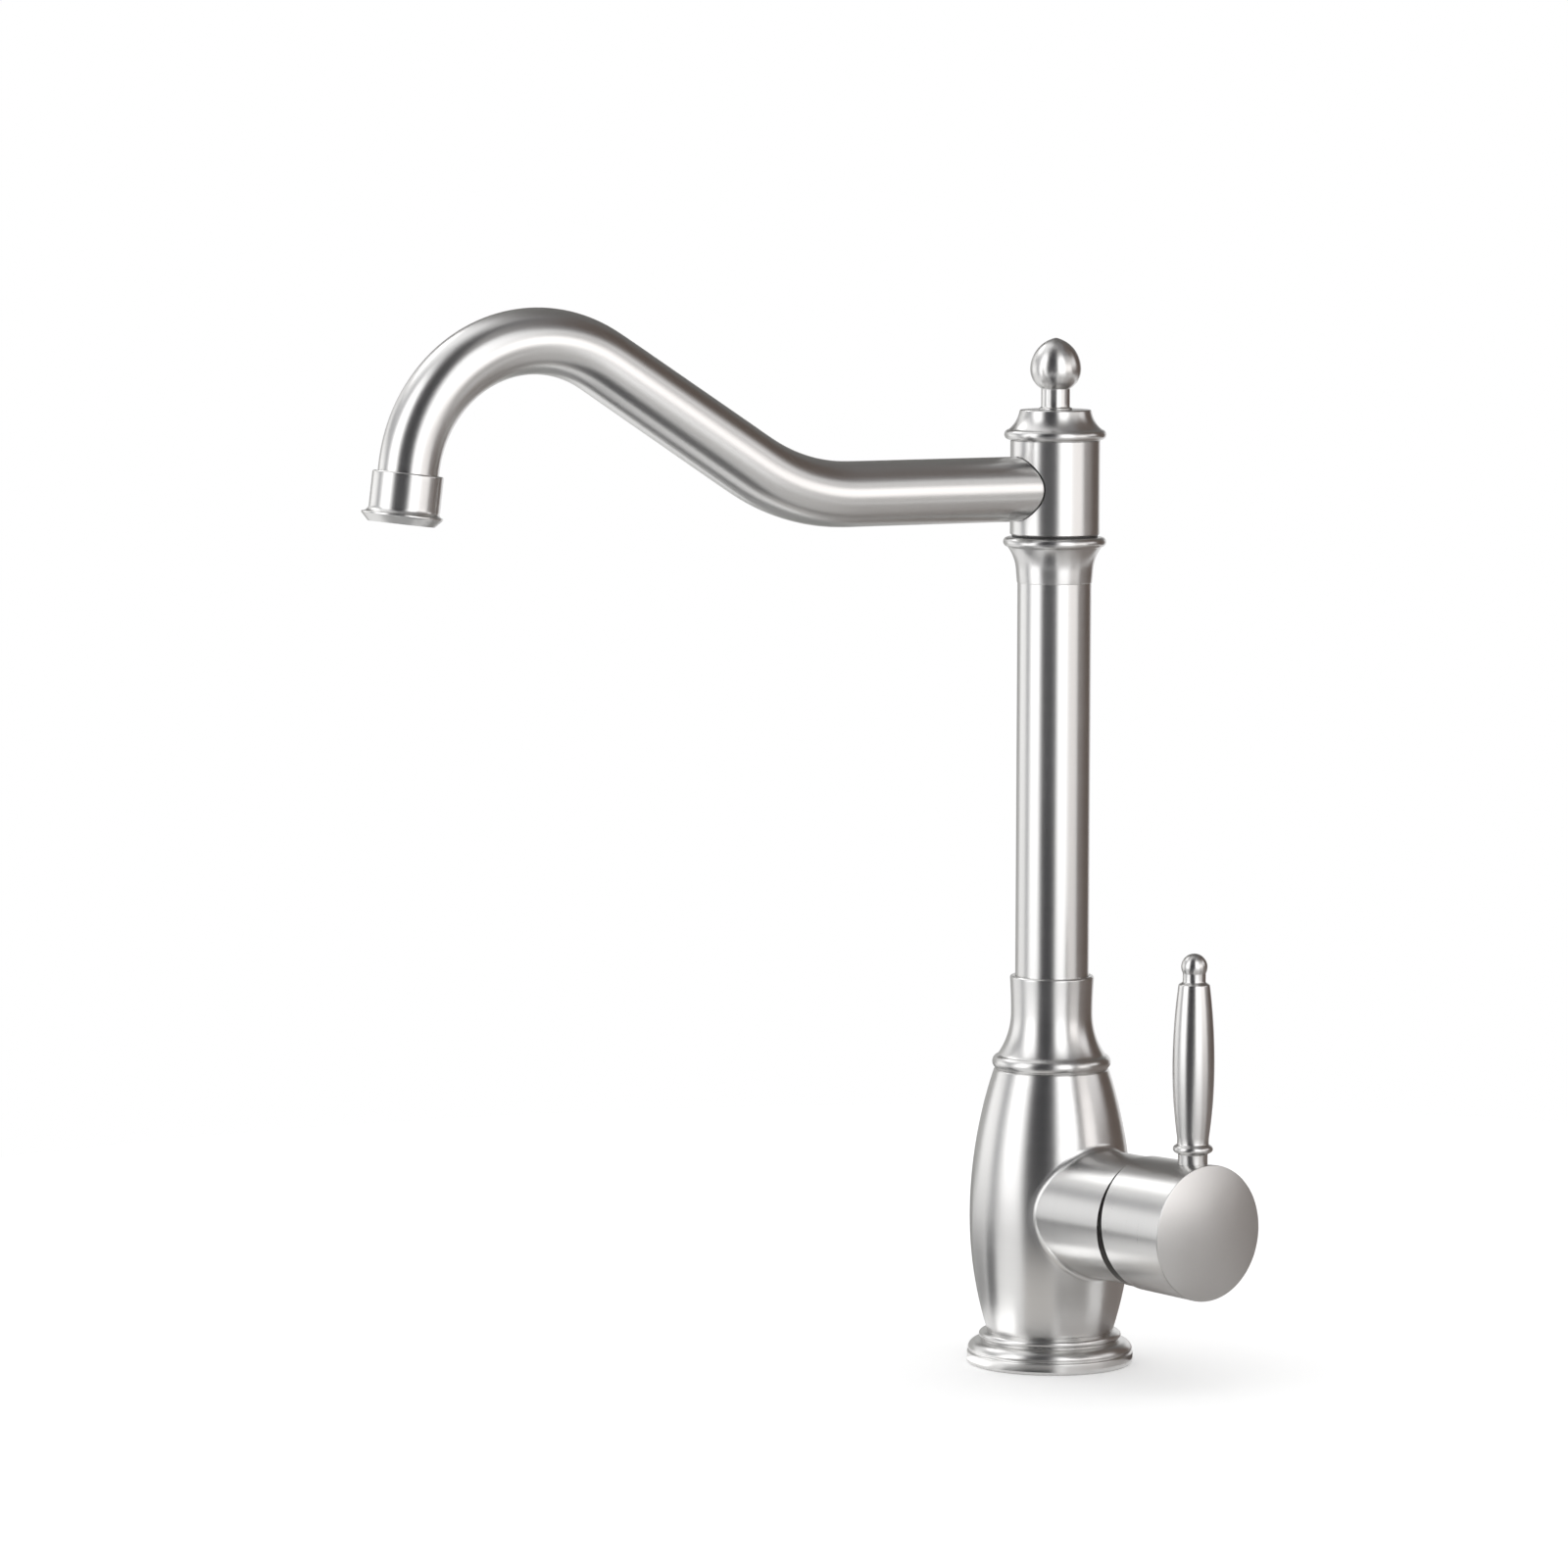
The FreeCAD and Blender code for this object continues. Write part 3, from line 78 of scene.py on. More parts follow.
# How the spout's tube is drawn
PATH_STEP = 0.1 * MM    # from one sample of its centreline to the next
RADIUS_BLEND = 120      # samples on each side that its radius is averaged over
TUBE_WALL = 1.0 * MM


def joint(name):
    """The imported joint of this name, whose place and axis the handle's pieces follow."""
    return next(j for j in frame["joints"] if j["name"] == name)


HANDLE_POINT = Vector(joint("handle_turn")["pos_m"])
HANDLE_OUT = Vector(joint("handle_turn")["axis"]).normalized()


# ---- settings ---------------------------------------------------------------------------------
class FaucetShape(bpy.types.PropertyGroup):
    """Sizes of the pieces that are made here."""

    soften: bpy.props.FloatProperty(
        name="Edge softness", description="How far each turned edge is rounded",
        default=0.16 * MM, min=0.01 * MM, unit="LENGTH", precision=5)
    around: bpy.props.IntProperty(
        name="Around", description="Points around each turned piece", default=144, min=24)
    spout_radius: bpy.props.FloatProperty(
        name="Spout radius", description="Radius of the spout's level run",
        default=11.1 * MM, unit="LENGTH", precision=4)
    spout_swell: bpy.props.FloatProperty(
        name="Spout swell", description="Radius at the foot of the spout's slant",
        default=11.6 * MM, unit="LENGTH", precision=4)
    spout_end: bpy.props.FloatProperty(
        name="Spout end", description="Radius where the spout enters its collar",
        default=10.0 * MM, unit="LENGTH", precision=4)
    first_bend: bpy.props.FloatProperty(
        name="First bend", description="Centreline radius of the bend at the slant's foot",
        default=69.4 * MM, unit="LENGTH", precision=4)
    crown_bend: bpy.props.FloatProperty(
        name="Crown bend", description="Centreline radius of the spout's crown",
        default=46.2 * MM, unit="LENGTH", precision=4)
    slant_run: bpy.props.FloatProperty(
        name="Slant", description="Straight length of the spout's slant",
        default=66.9 * MM, unit="LENGTH", precision=4)
    fall_run: bpy.props.FloatProperty(
        name="Fall", description="Straight length from the crown to the outlet's collar",
        default=1.8 * MM, unit="LENGTH", precision=4)
    reach: bpy.props.FloatProperty(
        name="Reach", description="From the body's axis to the middle of the spout's end",
        default=246.7 * MM, unit="LENGTH", precision=4)
    slant_angle: bpy.props.FloatProperty(
        name="Slant angle", description="Rise of the slant above level",
        default=math.radians(32.2), subtype="ANGLE")
    outlet_lean: bpy.props.FloatProperty(
        name="Outlet lean", description="How far the outlet leans from straight down",
        default=math.radians(7.2), subtype="ANGLE")


class FaucetFinish(bpy.types.PropertyGroup):
    """Colours and surface finishes."""

    steel: bpy.props.FloatVectorProperty(
        name="Steel", description="Colour of the satin steel", subtype="COLOR",
        default=(0.66, 0.655, 0.645), min=0, max=1)
    steel_roughness: bpy.props.FloatProperty(
        name="Steel roughness", description="Mean roughness of the satin steel",
        default=0.3, min=0, max=1, subtype="FACTOR")
    brushing: bpy.props.FloatProperty(
        name="Brushing", description="How strongly the brushing stretches the highlights",
        default=0.62, min=0, max=1, subtype="FACTOR")
    brush_lines: bpy.props.FloatProperty(
        name="Brush lines", description="Brush lines to a metre", default=3200.0, min=1)
    face_roughness: bpy.props.FloatProperty(
        name="Hub face roughness", description="Roughness of the hub's domed face",
        default=0.36, min=0, max=1, subtype="FACTOR")
    face_curve: bpy.props.FloatProperty(
        name="Hub face curve", description="Radius that the hub's domed face is shaded with",
        default=100.0 * MM, min=30 * MM, unit="LENGTH")
    machined: bpy.props.FloatVectorProperty(
        name="Machined steel", description="Colour of the plain steel parts", subtype="COLOR",
        default=(0.58, 0.58, 0.575), min=0, max=1)
    brass: bpy.props.FloatVectorProperty(
        name="Brass", description="Colour of the brass parts", subtype="COLOR",
        default=(0.78, 0.60, 0.30), min=0, max=1)
    rubber: bpy.props.FloatVectorProperty(
        name="Rubber", description="Colour of the seals", subtype="COLOR",
        default=(0.022, 0.022, 0.023), min=0, max=1)
    nylon: bpy.props.FloatVectorProperty(
        name="Dark nylon", description="Colour of the glide rings and the trim ring",
        subtype="COLOR", default=(0.035, 0.034, 0.034), min=0, max=1)
    plastic: bpy.props.FloatVectorProperty(
        name="Cartridge plastic", description="Colour of the moulded cartridge parts",
        subtype="COLOR", default=(0.72, 0.73, 0.74), min=0, max=1)
    ceramic: bpy.props.FloatVectorProperty(
        name="Ceramic", description="Colour of the valve discs", subtype="COLOR",
        default=(0.88, 0.88, 0.86), min=0, max=1)


class FaucetStudio(bpy.types.PropertyGroup):
    """The camera, the floor and the light."""

    camera_at: bpy.props.FloatVectorProperty(
        name="Camera", description="Where the camera stands", subtype="TRANSLATION",
        unit="LENGTH", default=(-1.2777, -2.0768, 0.4410))
    camera_turn: bpy.props.FloatVectorProperty(
        name="Camera turn", description="How the camera is turned", subtype="EULER",
        default=(math.radians(84.370), math.radians(-0.148), math.radians(-29.411)))
    lens: bpy.props.FloatProperty(
        name="Lens", description="Focal length on a 36 mm wide sensor, in millimetres",
        default=163.5)
    world: bpy.props.FloatProperty(
        name="World", description="Strength of the white surroundings", default=1.0, min=0)
    floor: bpy.props.FloatProperty(
        name="Floor radius", description="Radius of the pale floor", default=0.62,
        unit="LENGTH")
    card_distance: bpy.props.FloatProperty(
        name="Card distance", description="How far the studio's cards stand off",
        default=2.6, unit="LENGTH")


# ---- surfaces ---------------------------------------------------------------------------------
def upright_bulge(crest, foot):
    """Bulge of the arc that is upright at the crest and ends at the foot, below 0 at a waist."""
    drop, run = crest[0] - foot[0], crest[1] - foot[1]
    radius = (run * run + drop * drop) / (2 * abs(drop))
    half = math.hypot(drop, run) / 2
    return math.copysign(radius - math.sqrt(radius * radius - half * half), drop)


def outline(points, soften, closed):
    """A smooth line from an outline of (radius, height, bulge) points in millimetres.

    A stretch with a bulge is a circular arc that stands that far proud of its chord. With half
    the arc's angle p = 2 atan(2 bulge / chord), a share t of the way along is
    (1 + sin((2t - 1) p) / sin p) / 2 of the chord along it, and
    (cos((2t - 1) p) - cos p) / (2 sin p) of the chord out from it. The line is then sampled
    evenly, averaged under a bell curve of the softness, which rounds its corners, and sampled
    again so that points crowd where it turns. An open line ends on the axis, where it is
    continued by its mirror image."""
    knots = np.array([p[:2] for p in points], float) * MM
    bulge = np.array([p[2] if len(p) > 2 else 0.0 for p in points], float) * MM
    after = np.roll(knots, -1, 0)
    bulge = np.roll(bulge, -1)
    if not closed:
        knots, after, bulge = knots[:-1], after[:-1], bulge[:-1]
    chord = after - knots
    length = np.linalg.norm(chord, axis=1)
    out = np.stack([chord[:, 1], -chord[:, 0]], 1)
    half = 2 * np.arctan2(2 * bulge, length)
    flat = np.abs(half) < 1e-6
    sine = np.where(flat, 1.0, np.sin(half))[:, None]
    t = np.linspace(0, 1, ARC_POINTS, endpoint=False)[None, :]
    swing = (2 * t - 1) * half[:, None]
    along = np.where(flat[:, None], t, (1 + np.sin(swing) / sine) / 2)
    proud = np.where(flat[:, None], 0, (np.cos(swing) - np.cos(half)[:, None]) / (2 * sine))
    line = knots[:, None] + chord[:, None] * along[..., None] + out[:, None] * proud[..., None]
    line = np.vstack([line.reshape(-1, 2), knots[:1] if closed else after[-1:]])
    step = soften / BELL_WIDTH
    walked = np.append(0, np.cumsum(np.linalg.norm(np.diff(line, axis=0), axis=1)))
    count = int(walked[-1] / step)
    even = np.linspace(0, walked[-1], count + 1)
    line = np.stack([np.interp(even, walked, line[:, k]) for k in (0, 1)], 1)
    reach = BELL_REACH
    if closed:
        padded = np.vstack([line[-reach - 1:-1], line, line[1:reach + 1]])
    else:
        mirror = np.array([-1.0, 1.0])
        padded = np.vstack([line[reach:0:-1] * mirror, line, line[-2:-reach - 2:-1] * mirror])
    bell = np.exp(-0.5 * (np.arange(-reach, reach + 1) / BELL_WIDTH) ** 2)
    bell /= bell.sum()
    line = np.stack([np.convolve(padded[:, k], bell, "valid") for k in (0, 1)], 1)
    if not closed:
        line[[0, -1], 0] = 0
    run = np.diff(line, axis=0)
    stretch = np.linalg.norm(run, axis=1)
    heading = np.unwrap(np.arctan2(run[:, 1], run[:, 0]))
    bend = np.abs(np.append(np.diff(heading), 0))
    cost = np.append(0, np.cumsum(stretch / ROW_LENGTH + bend / ROW_TURN))
    rows = np.linspace(0, cost[-1], max(8, int(cost[-1])))
    line = np.stack([np.interp(rows, cost, line[:, k]) for k in (0, 1)], 1)
    return line[:-1] if closed else line


def grid_mesh(name, grid, closed, poles):
    """A mesh from a grid of points whose rows run round the piece.

    Face (i, j) joins the points (i, j), (i, j + 1), (i + 1, j + 1) and (i + 1, j), counted round
    past the last column, and past the last row as well if the rows close on themselves. With
    poles, the first and the last row are single points, joined by fans. The map's U follows the
    rows and its V goes round."""
    rows, around = grid.shape[:2]
    if poles:
        body = grid[1:-1].reshape(-1, 3)
        points = np.vstack([body, grid[0, :1], grid[-1, :1]])
        inner = rows - 2
    else:
        points = grid.reshape(-1, 3)
        inner = rows
    bands = inner if closed else inner - 1
    i, j = np.meshgrid(np.arange(bands), np.arange(around), indexing="ij")
    right = (j + 1) % around
    above = (i + 1) % inner
    quads = np.stack([i * around + j, i * around + right, above * around + right,
                      above * around + j], -1).reshape(-1, 4)
    v0, v1 = j / around, (j + 1) / around
    u0, u1 = i / bands, (i + 1) / bands
    uv = np.stack([np.stack([u0, u0, u1, u1], -1), np.stack([v0, v1, v1, v0], -1)], -1)
    uv = uv.reshape(-1, 2)
    faces = quads.tolist()
    if poles:
        k = np.arange(around)
        last = (inner - 1) * around
        low = np.stack([np.full(around, len(body)), (k + 1) % around, k], 1)
        high = np.stack([last + k, last + (k + 1) % around, np.full(around, len(body) + 1)], 1)
        faces += low.tolist() + high.tolist()
        mid, left, far = (k + 0.5) / around, k / around, (k + 1) / around
        fan_low = np.stack([np.zeros((around, 3)), np.stack([mid, far, left], 1)], -1)
        fan_high = np.stack([np.ones((around, 3)), np.stack([left, far, mid], 1)], -1)
        uv = np.vstack([uv, fan_low.reshape(-1, 2), fan_high.reshape(-1, 2)])
    mesh = bpy.data.meshes.new(name)
    mesh.from_pydata(points.tolist(), [], faces)
    layer = mesh.uv_layers.new(name="wrap")
    layer.data.foreach_set("uv", uv.ravel())
    mesh.polygons.foreach_set("use_smooth", np.ones(len(mesh.polygons), bool))
    mesh.update()
    piece = bpy.data.objects.new(name, mesh)
    bpy.context.scene.collection.objects.link(piece)
    return piece


def turned_piece(name, points, closed, origin=(0, 0, 0), axis=UP, across=None):
    """A piece turned about an axis: the outline's point (r, h) goes to the origin plus h along
    the axis plus r times (cos a along the first cross direction + sin a along the second)."""
    shape = bpy.context.scene.faucet_shape
    line = outline(points, shape.soften, closed)
    axis = Vector(axis).normalized()
    first = Vector(across) if across else axis.orthogonal()
    first = (first - axis * first.dot(axis)).normalized()
    second = axis.cross(first)
    angle = FULL_TURN * np.arange(shape.around) / shape.around
    radius, height = line[:, 0, None, None], line[:, 1, None, None]
    spoke = np.cos(angle)[:, None] * np.array(first) + np.sin(angle)[:, None] * np.array(second)
    grid = np.array(origin) + height * np.array(axis) + radius * spoke[None]
    return grid_mesh(name, grid, closed, not closed)


def stand_for(piece, node, body, material):
    """Give a piece its material and let it stand for a node of the solid model."""
    piece.data.materials.append(material)
    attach(piece, body)
    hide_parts(node)


def dress(nodes, material):
    """Give nodes of the solid model a material."""
    for name in nodes:
        slots = frame["nodes"][name].data.materials
        slots.clear()
        slots.append(material)


# ---- materials --------------------------------------------------------------------------------
class Nodes:
    """Short calls for building a material's nodes."""

    def __init__(self, name):
        self.material = bpy.data.materials.new(name)
        self.material.use_nodes = True
        self.tree = self.material.node_tree
        self.tree.nodes.clear()
        self.shader = self.tree.nodes.new("ShaderNodeBsdfPrincipled")
        self.output = self.tree.nodes.new("ShaderNodeOutputMaterial")
        self.surface(self.shader.outputs[0])

    def surface(self, socket):
        """Show this socket as the material's surface."""
        self.tree.links.new(socket, self.output.inputs["Surface"])

    def put(self, socket, value):
        """Set an input to a number, or link it."""
        if isinstance(value, bpy.types.NodeSocket):
            self.tree.links.new(value, socket)
        else:
            socket.default_value = value

    def set(self, **values):
        """Set the shader's inputs by name, with _ for a space."""
        for name, value in values.items():
            self.put(self.shader.inputs[name.replace("_", " ")], value)

    def add(self, kind, settings=(), **inputs):
        """Add a node, set its own settings and its inputs, and give the node back."""
        node = self.tree.nodes.new(kind)
        for key, value in dict(settings).items():
            setattr(node, key, value)
        for name, value in inputs.items():
            self.put(node.inputs[name.replace("_", " ")], value)
        return node

    def vector(self, operation, a, b=None, scale=None):
        """Work out a vector, or a number where the operation gives one."""
        node = self.add("ShaderNodeVectorMath", {"operation": operation})
        self.put(node.inputs[0], a)
        if b is not None:
            self.put(node.inputs[1], b)
        if scale is not None:
            self.put(node.inputs["Scale"], scale)
        return node.outputs["Value" if operation in ("DOT_PRODUCT", "LENGTH") else "Vector"]

    def math(self, operation, a, b=0.0, c=0.0):
        """Work out a number."""
        node = self.add("ShaderNodeMath", {"operation": operation})
        for socket, value in zip(node.inputs, (a, b, c)):
            self.put(socket, value)
        return node.outputs[0]

    def span(self, value, low, high, to_low=0.0, to_high=1.0, kind="SMOOTHSTEP"):
        """Map a range of a value to another range."""
        node = self.add("ShaderNodeMapRange", {"interpolation_type": kind}, Value=value)
        for name, number in zip(("From Min", "From Max", "To Min", "To Max"),
                                (low, high, to_low, to_high)):
            self.put(node.inputs[name], number)
        return node.outputs[0]

    def mix(self, share, a, b):
        """A share of b in a, for vectors."""
        return self.vector("ADD", a, self.vector("SCALE", self.vector("SUBTRACT", b, a),
                                                 scale=share))

    def cover(self, share, under, over):
        """Lay a share of one shader over another."""
        node = self.add("ShaderNodeMixShader")
        for socket, value in zip(node.inputs, (share, under.outputs[0], over.outputs[0])):
            self.put(socket, value)
        return node.outputs[0]

    def noise(self, vector, scale=1.0, detail=2.0, roughness=0.5, w=None):
        """Noise at a place, also along a fourth direction where w is given."""
        node = self.add("ShaderNodeTexNoise", {"noise_dimensions": "3D" if w is None else "4D"},
                        Vector=vector, Scale=scale, Detail=detail, Roughness=roughness)
        if w is not None:
            self.put(node.inputs["W"], w)
        return node.outputs[0]

    def place(self):
        """The point being shaded, in the piece's own space."""
        return self.add("ShaderNodeTexCoord").outputs["Object"]


def lathe_space(n, point, axis, lines):
    """Brush coordinates about an axis, as (vector, w, tangent).

    The vector is the unit direction out from the axis plus the distance along the axis times the
    number of lines, so a noise in it changes slowly round the piece and fast along it. W is the
    distance from the axis times the number of lines, for end faces. The tangent runs along the
    piece's outline, across the brush lines, and is the axis plus half the unit direction out."""
    place = n.vector("SUBTRACT", n.place(), tuple(point))
    along = n.vector("DOT_PRODUCT", place, tuple(axis))
    shaft = n.vector("SCALE", tuple(axis), scale=along)
    out = n.vector("SUBTRACT", place, shaft)
    radius = n.vector("LENGTH", out)
    unit = n.vector("NORMALIZE", out)
    vector = n.vector("ADD", n.vector("SCALE", unit, scale=1.3),
                      n.vector("SCALE", shaft, scale=lines))
    tangent = n.vector("ADD", n.vector("SCALE", unit, scale=0.5), tuple(axis))
    return vector, n.math("MULTIPLY", radius, lines), tangent


def brushed(n, vector, w, roughness, normal=None):
    """Satin finish from brush coordinates: fine lines in the bump and the roughness, a slow drift
    of the roughness, and a slight change of tone from line to line."""
    finish = bpy.context.scene.faucet_finish
    bundle = 0.13   # the fine lines' number to that of the broad ones
    clouds = 38.0   # slow changes to a metre
    fine = n.noise(vector, 1.0, 3.0, 0.6, w)
    broad = n.noise(n.vector("SCALE", vector, scale=bundle), 1.0, 2.0, 0.5,
                    n.math("MULTIPLY", w, bundle))
    drift = n.noise(n.place(), clouds, 2.0, 0.5)
    rough = n.math("ADD", n.span(fine, 0.25, 0.75, -0.014, 0.014, "LINEAR"),
                   n.span(broad, 0.3, 0.7, -0.01, 0.01, "LINEAR"))
    rough = n.math("ADD", rough, n.span(drift, 0.3, 0.7, -0.012, 0.012, "LINEAR"))
    rough = n.math("ADD", rough, roughness)
    tone = n.math("ADD", n.span(fine, 0.2, 0.8, 0.99, 1.01, "LINEAR"),
                  n.span(broad, 0.3, 0.7, -0.008, 0.008, "LINEAR"))
    colour = n.vector("SCALE", tuple(finish.steel), scale=tone)
    bump = n.add("ShaderNodeBump", Strength=0.012, Distance=0.00004, Height=fine)
    if normal is not None:
        n.put(bump.inputs["Normal"], normal)
    n.set(Base_Color=colour, Metallic=1.0, Roughness=rough, Anisotropic=finish.brushing,
          Normal=bump.outputs[0])


def to_world(n, vector):
    """Turn a direction from the piece's own space to the world's."""
    node = n.add("ShaderNodeVectorTransform",
                 {"vector_type": "VECTOR", "convert_from": "OBJECT", "convert_to": "WORLD"},
                 Vector=vector)
    return node.outputs[0]


def turned_steel(name, point, axis):
    """Satin steel brushed round an axis."""
    finish = bpy.context.scene.faucet_finish
    n = Nodes(name)
    vector, w, tangent = lathe_space(n, point, axis, finish.brush_lines)
    brushed(n, vector, w, finish.steel_roughness)
    n.set(Tangent=to_world(n, tangent))
    return n.material


def body_steel():
    """Satin steel for the body. The belly is brushed round the upright axis and the side housing
    round the handle's axis, and the change lies on the fillet between them."""
    finish = bpy.context.scene.faucet_finish
    n = Nodes("satin_steel_body")
    belly = lathe_space(n, (0, 0, 0), UP, finish.brush_lines)
    branch = lathe_space(n, HANDLE_POINT, HANDLE_OUT, finish.brush_lines)
    place = n.vector("SUBTRACT", n.place(), tuple(HANDLE_POINT))
    along = n.vector("DOT_PRODUCT", place, tuple(HANDLE_OUT))
    off = n.vector("LENGTH", n.vector("SUBTRACT", place, n.vector(
        "SCALE", tuple(HANDLE_OUT), scale=along)))
    share = n.math("MULTIPLY", n.span(off, *BRANCH_FILLET, 1.0, 0.0),
                   n.span(along, *BRANCH_ROOT))
    vector = n.mix(share, belly[0], branch[0])
    w = n.math("ADD", n.math("MULTIPLY", belly[1], n.math("SUBTRACT", 1.0, share)),
               n.math("MULTIPLY", branch[1], share))
    brushed(n, vector, w, finish.steel_roughness)
    n.set(Tangent=to_world(n, n.mix(share, belly[2], branch[2])))
    return n.material


def hub_steel():
    """Satin steel brushed round the handle's axis, with a duller, evenly blasted face. The face
    is shaded as a dome that is somewhat rounder than the solid's."""
    finish = bpy.context.scene.faucet_finish
    n = Nodes("satin_steel_hub")
    vector, w, tangent = lathe_space(n, HANDLE_POINT, HANDLE_OUT, finish.brush_lines)
    place = n.vector("SUBTRACT", n.place(), tuple(HANDLE_POINT))
    along = n.vector("DOT_PRODUCT", place, tuple(HANDLE_OUT))
    face = n.span(along, *HUB_FACE)
    extra = finish.face_roughness - finish.steel_roughness
    grains = 900.0  # to a metre of the blasted face
    vector = n.mix(face, vector, n.vector("SCALE", place, scale=grains))
    w = n.math("MULTIPLY", w, n.math("SUBTRACT", 1.0, face))
    off = n.vector("SUBTRACT", place, n.vector("SCALE", tuple(HANDLE_OUT), scale=along))
    dome = n.vector("ADD", n.vector("SCALE", off, scale=1 / finish.face_curve), tuple(HANDLE_OUT))
    normal = n.mix(face, n.add("ShaderNodeNewGeometry").outputs["Normal"], to_world(n, dome))
    brushed(n, vector, w, n.math("MULTIPLY_ADD", face, extra, finish.steel_roughness),
            n.vector("NORMALIZE", normal))
    n.set(Tangent=to_world(n, n.mix(face, tangent, tuple(UP.cross(HANDLE_OUT)))))
    return n.material


def tube_steel():
    """Satin steel for the bent tube. The brushing follows the tube's own map: V goes round and U
    runs along, so a noise in (cos V, sin V, U) has lines round the tube."""
    finish = bpy.context.scene.faucet_finish
    n = Nodes("satin_steel_tube")
    wrap = n.add("ShaderNodeUVMap", {"uv_map": "wrap"})
    uv = n.add("ShaderNodeSeparateXYZ", Vector=wrap.outputs[0])
    turn = n.math("MULTIPLY", uv.outputs["Y"], FULL_TURN)
    ring = n.add("ShaderNodeCombineXYZ", X=n.math("COSINE", turn), Y=n.math("SINE", turn),
                 Z=n.math("MULTIPLY", uv.outputs["X"], finish.brush_lines))
    brushed(n, ring.outputs[0], 0.0, finish.steel_roughness)
    tangent = n.add("ShaderNodeTangent", {"direction_type": "UV_MAP", "uv_map": "wrap"})
    n.set(Tangent=tangent.outputs[0])
    return n.material


def machined(name, colour, roughness=0.3):
    """Turned metal: fine lines round the upright axis and a soft change of tone."""
    n = Nodes(name)
    lines, clouds = 1800.0, 60.0    # to a metre
    vector, w, tangent = lathe_space(n, (0, 0, 0), UP, lines)
    fine = n.noise(vector, 1.0, 2.0, 0.5, w)
    cloud = n.noise(n.place(), clouds, 3.0, 0.5)
    tone = n.math("ADD", n.span(fine, 0.2, 0.8, 0.94, 1.02, "LINEAR"),
                  n.span(cloud, 0.3, 0.7, -0.04, 0.04, "LINEAR"))
    bump = n.add("ShaderNodeBump", Strength=0.12, Distance=0.00008, Height=fine)
    n.set(Base_Color=n.vector("SCALE", tuple(colour), scale=tone), Metallic=1.0,
          Roughness=n.span(cloud, 0.3, 0.7, roughness - 0.06, roughness + 0.08, "LINEAR"),
          Anisotropic=0.4, Normal=bump.outputs[0], Tangent=to_world(n, tangent))
    return n.material


def moulded(name, colour, roughness, grain, depth):
    """Rubber, plastic or ceramic: a fine moulded grain in the bump, so many to a metre and so
    deep, and a cloudy change of tone and roughness."""
    n = Nodes(name)
    clouds = 90.0   # to a metre
    fine = n.noise(n.place(), grain, 3.0, 0.6)
    cloud = n.noise(n.place(), clouds, 3.0, 0.5)
    tone = n.math("ADD", n.span(fine, 0.2, 0.8, 0.92, 1.06, "LINEAR"),
                  n.span(cloud, 0.3, 0.7, -0.05, 0.05, "LINEAR"))
    bump = n.add("ShaderNodeBump", Strength=0.25, Distance=depth, Height=fine)
    n.set(Base_Color=n.vector("SCALE", tuple(colour), scale=tone),
          Roughness=n.span(cloud, 0.3, 0.7, roughness - 0.06, roughness + 0.06, "LINEAR"),
          Normal=bump.outputs[0])
    return n.material


# ---- pieces -----------------------------------------------------------------------------------
def upright_steel():
    """The satin steel of everything turned about the body's axis, made once."""
    found = bpy.data.materials.get("satin_steel_upright")
    return found or turned_steel("satin_steel_upright", (0, 0, 0), UP)


class FAUCET_OT_foot(bpy.types.Operator):
    """Make the stepped flange on the deck, with its band, rounded shoulder and bead."""

    bl_idname = "faucet.foot"
    bl_label = "Foot flange"

    def execute(self, context):
        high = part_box("base_flange")[1]
        edge = high[0] / MM
        top = high[2] / MM
        band, groove = 3.9, 5.2
        seal_out, seal_in, seal_top = 26.03, 21.97, 1.6
        seat, hole, web = 21.03, 16.03, 3.0
        points = [
            (seal_out, 0), (edge - 0.6, 0), (edge, 0.6), (edge, band), (edge - 0.7, band + 0.4),
            (edge - 0.7, groove - 0.4), (edge - 0.25, groove), (edge - 3.6, top - 3.6, 0.75),
            (edge - 4.9, top - 3.3), (edge - 4.9, top - 3.0), (edge - 5.4, top - 0.5, 1.0),
            (edge - 6.3, top), (seat, top), (seat, web), (hole, web), (hole, 0), (seal_in, 0),
            (seal_in, seal_top), (seal_out, seal_top)]
        piece = turned_piece("foot_flange", points, True)
        stand_for(piece, "base_flange", "root", upright_steel())
        return {"FINISHED"}


class FAUCET_OT_body(bpy.types.Operator):
    """Finish the body casting with its side housing."""

    bl_idname = "faucet.body"
    bl_label = "Body"

    def execute(self, context):
        dress(["barrel_body"], body_steel())
        return {"FINISHED"}


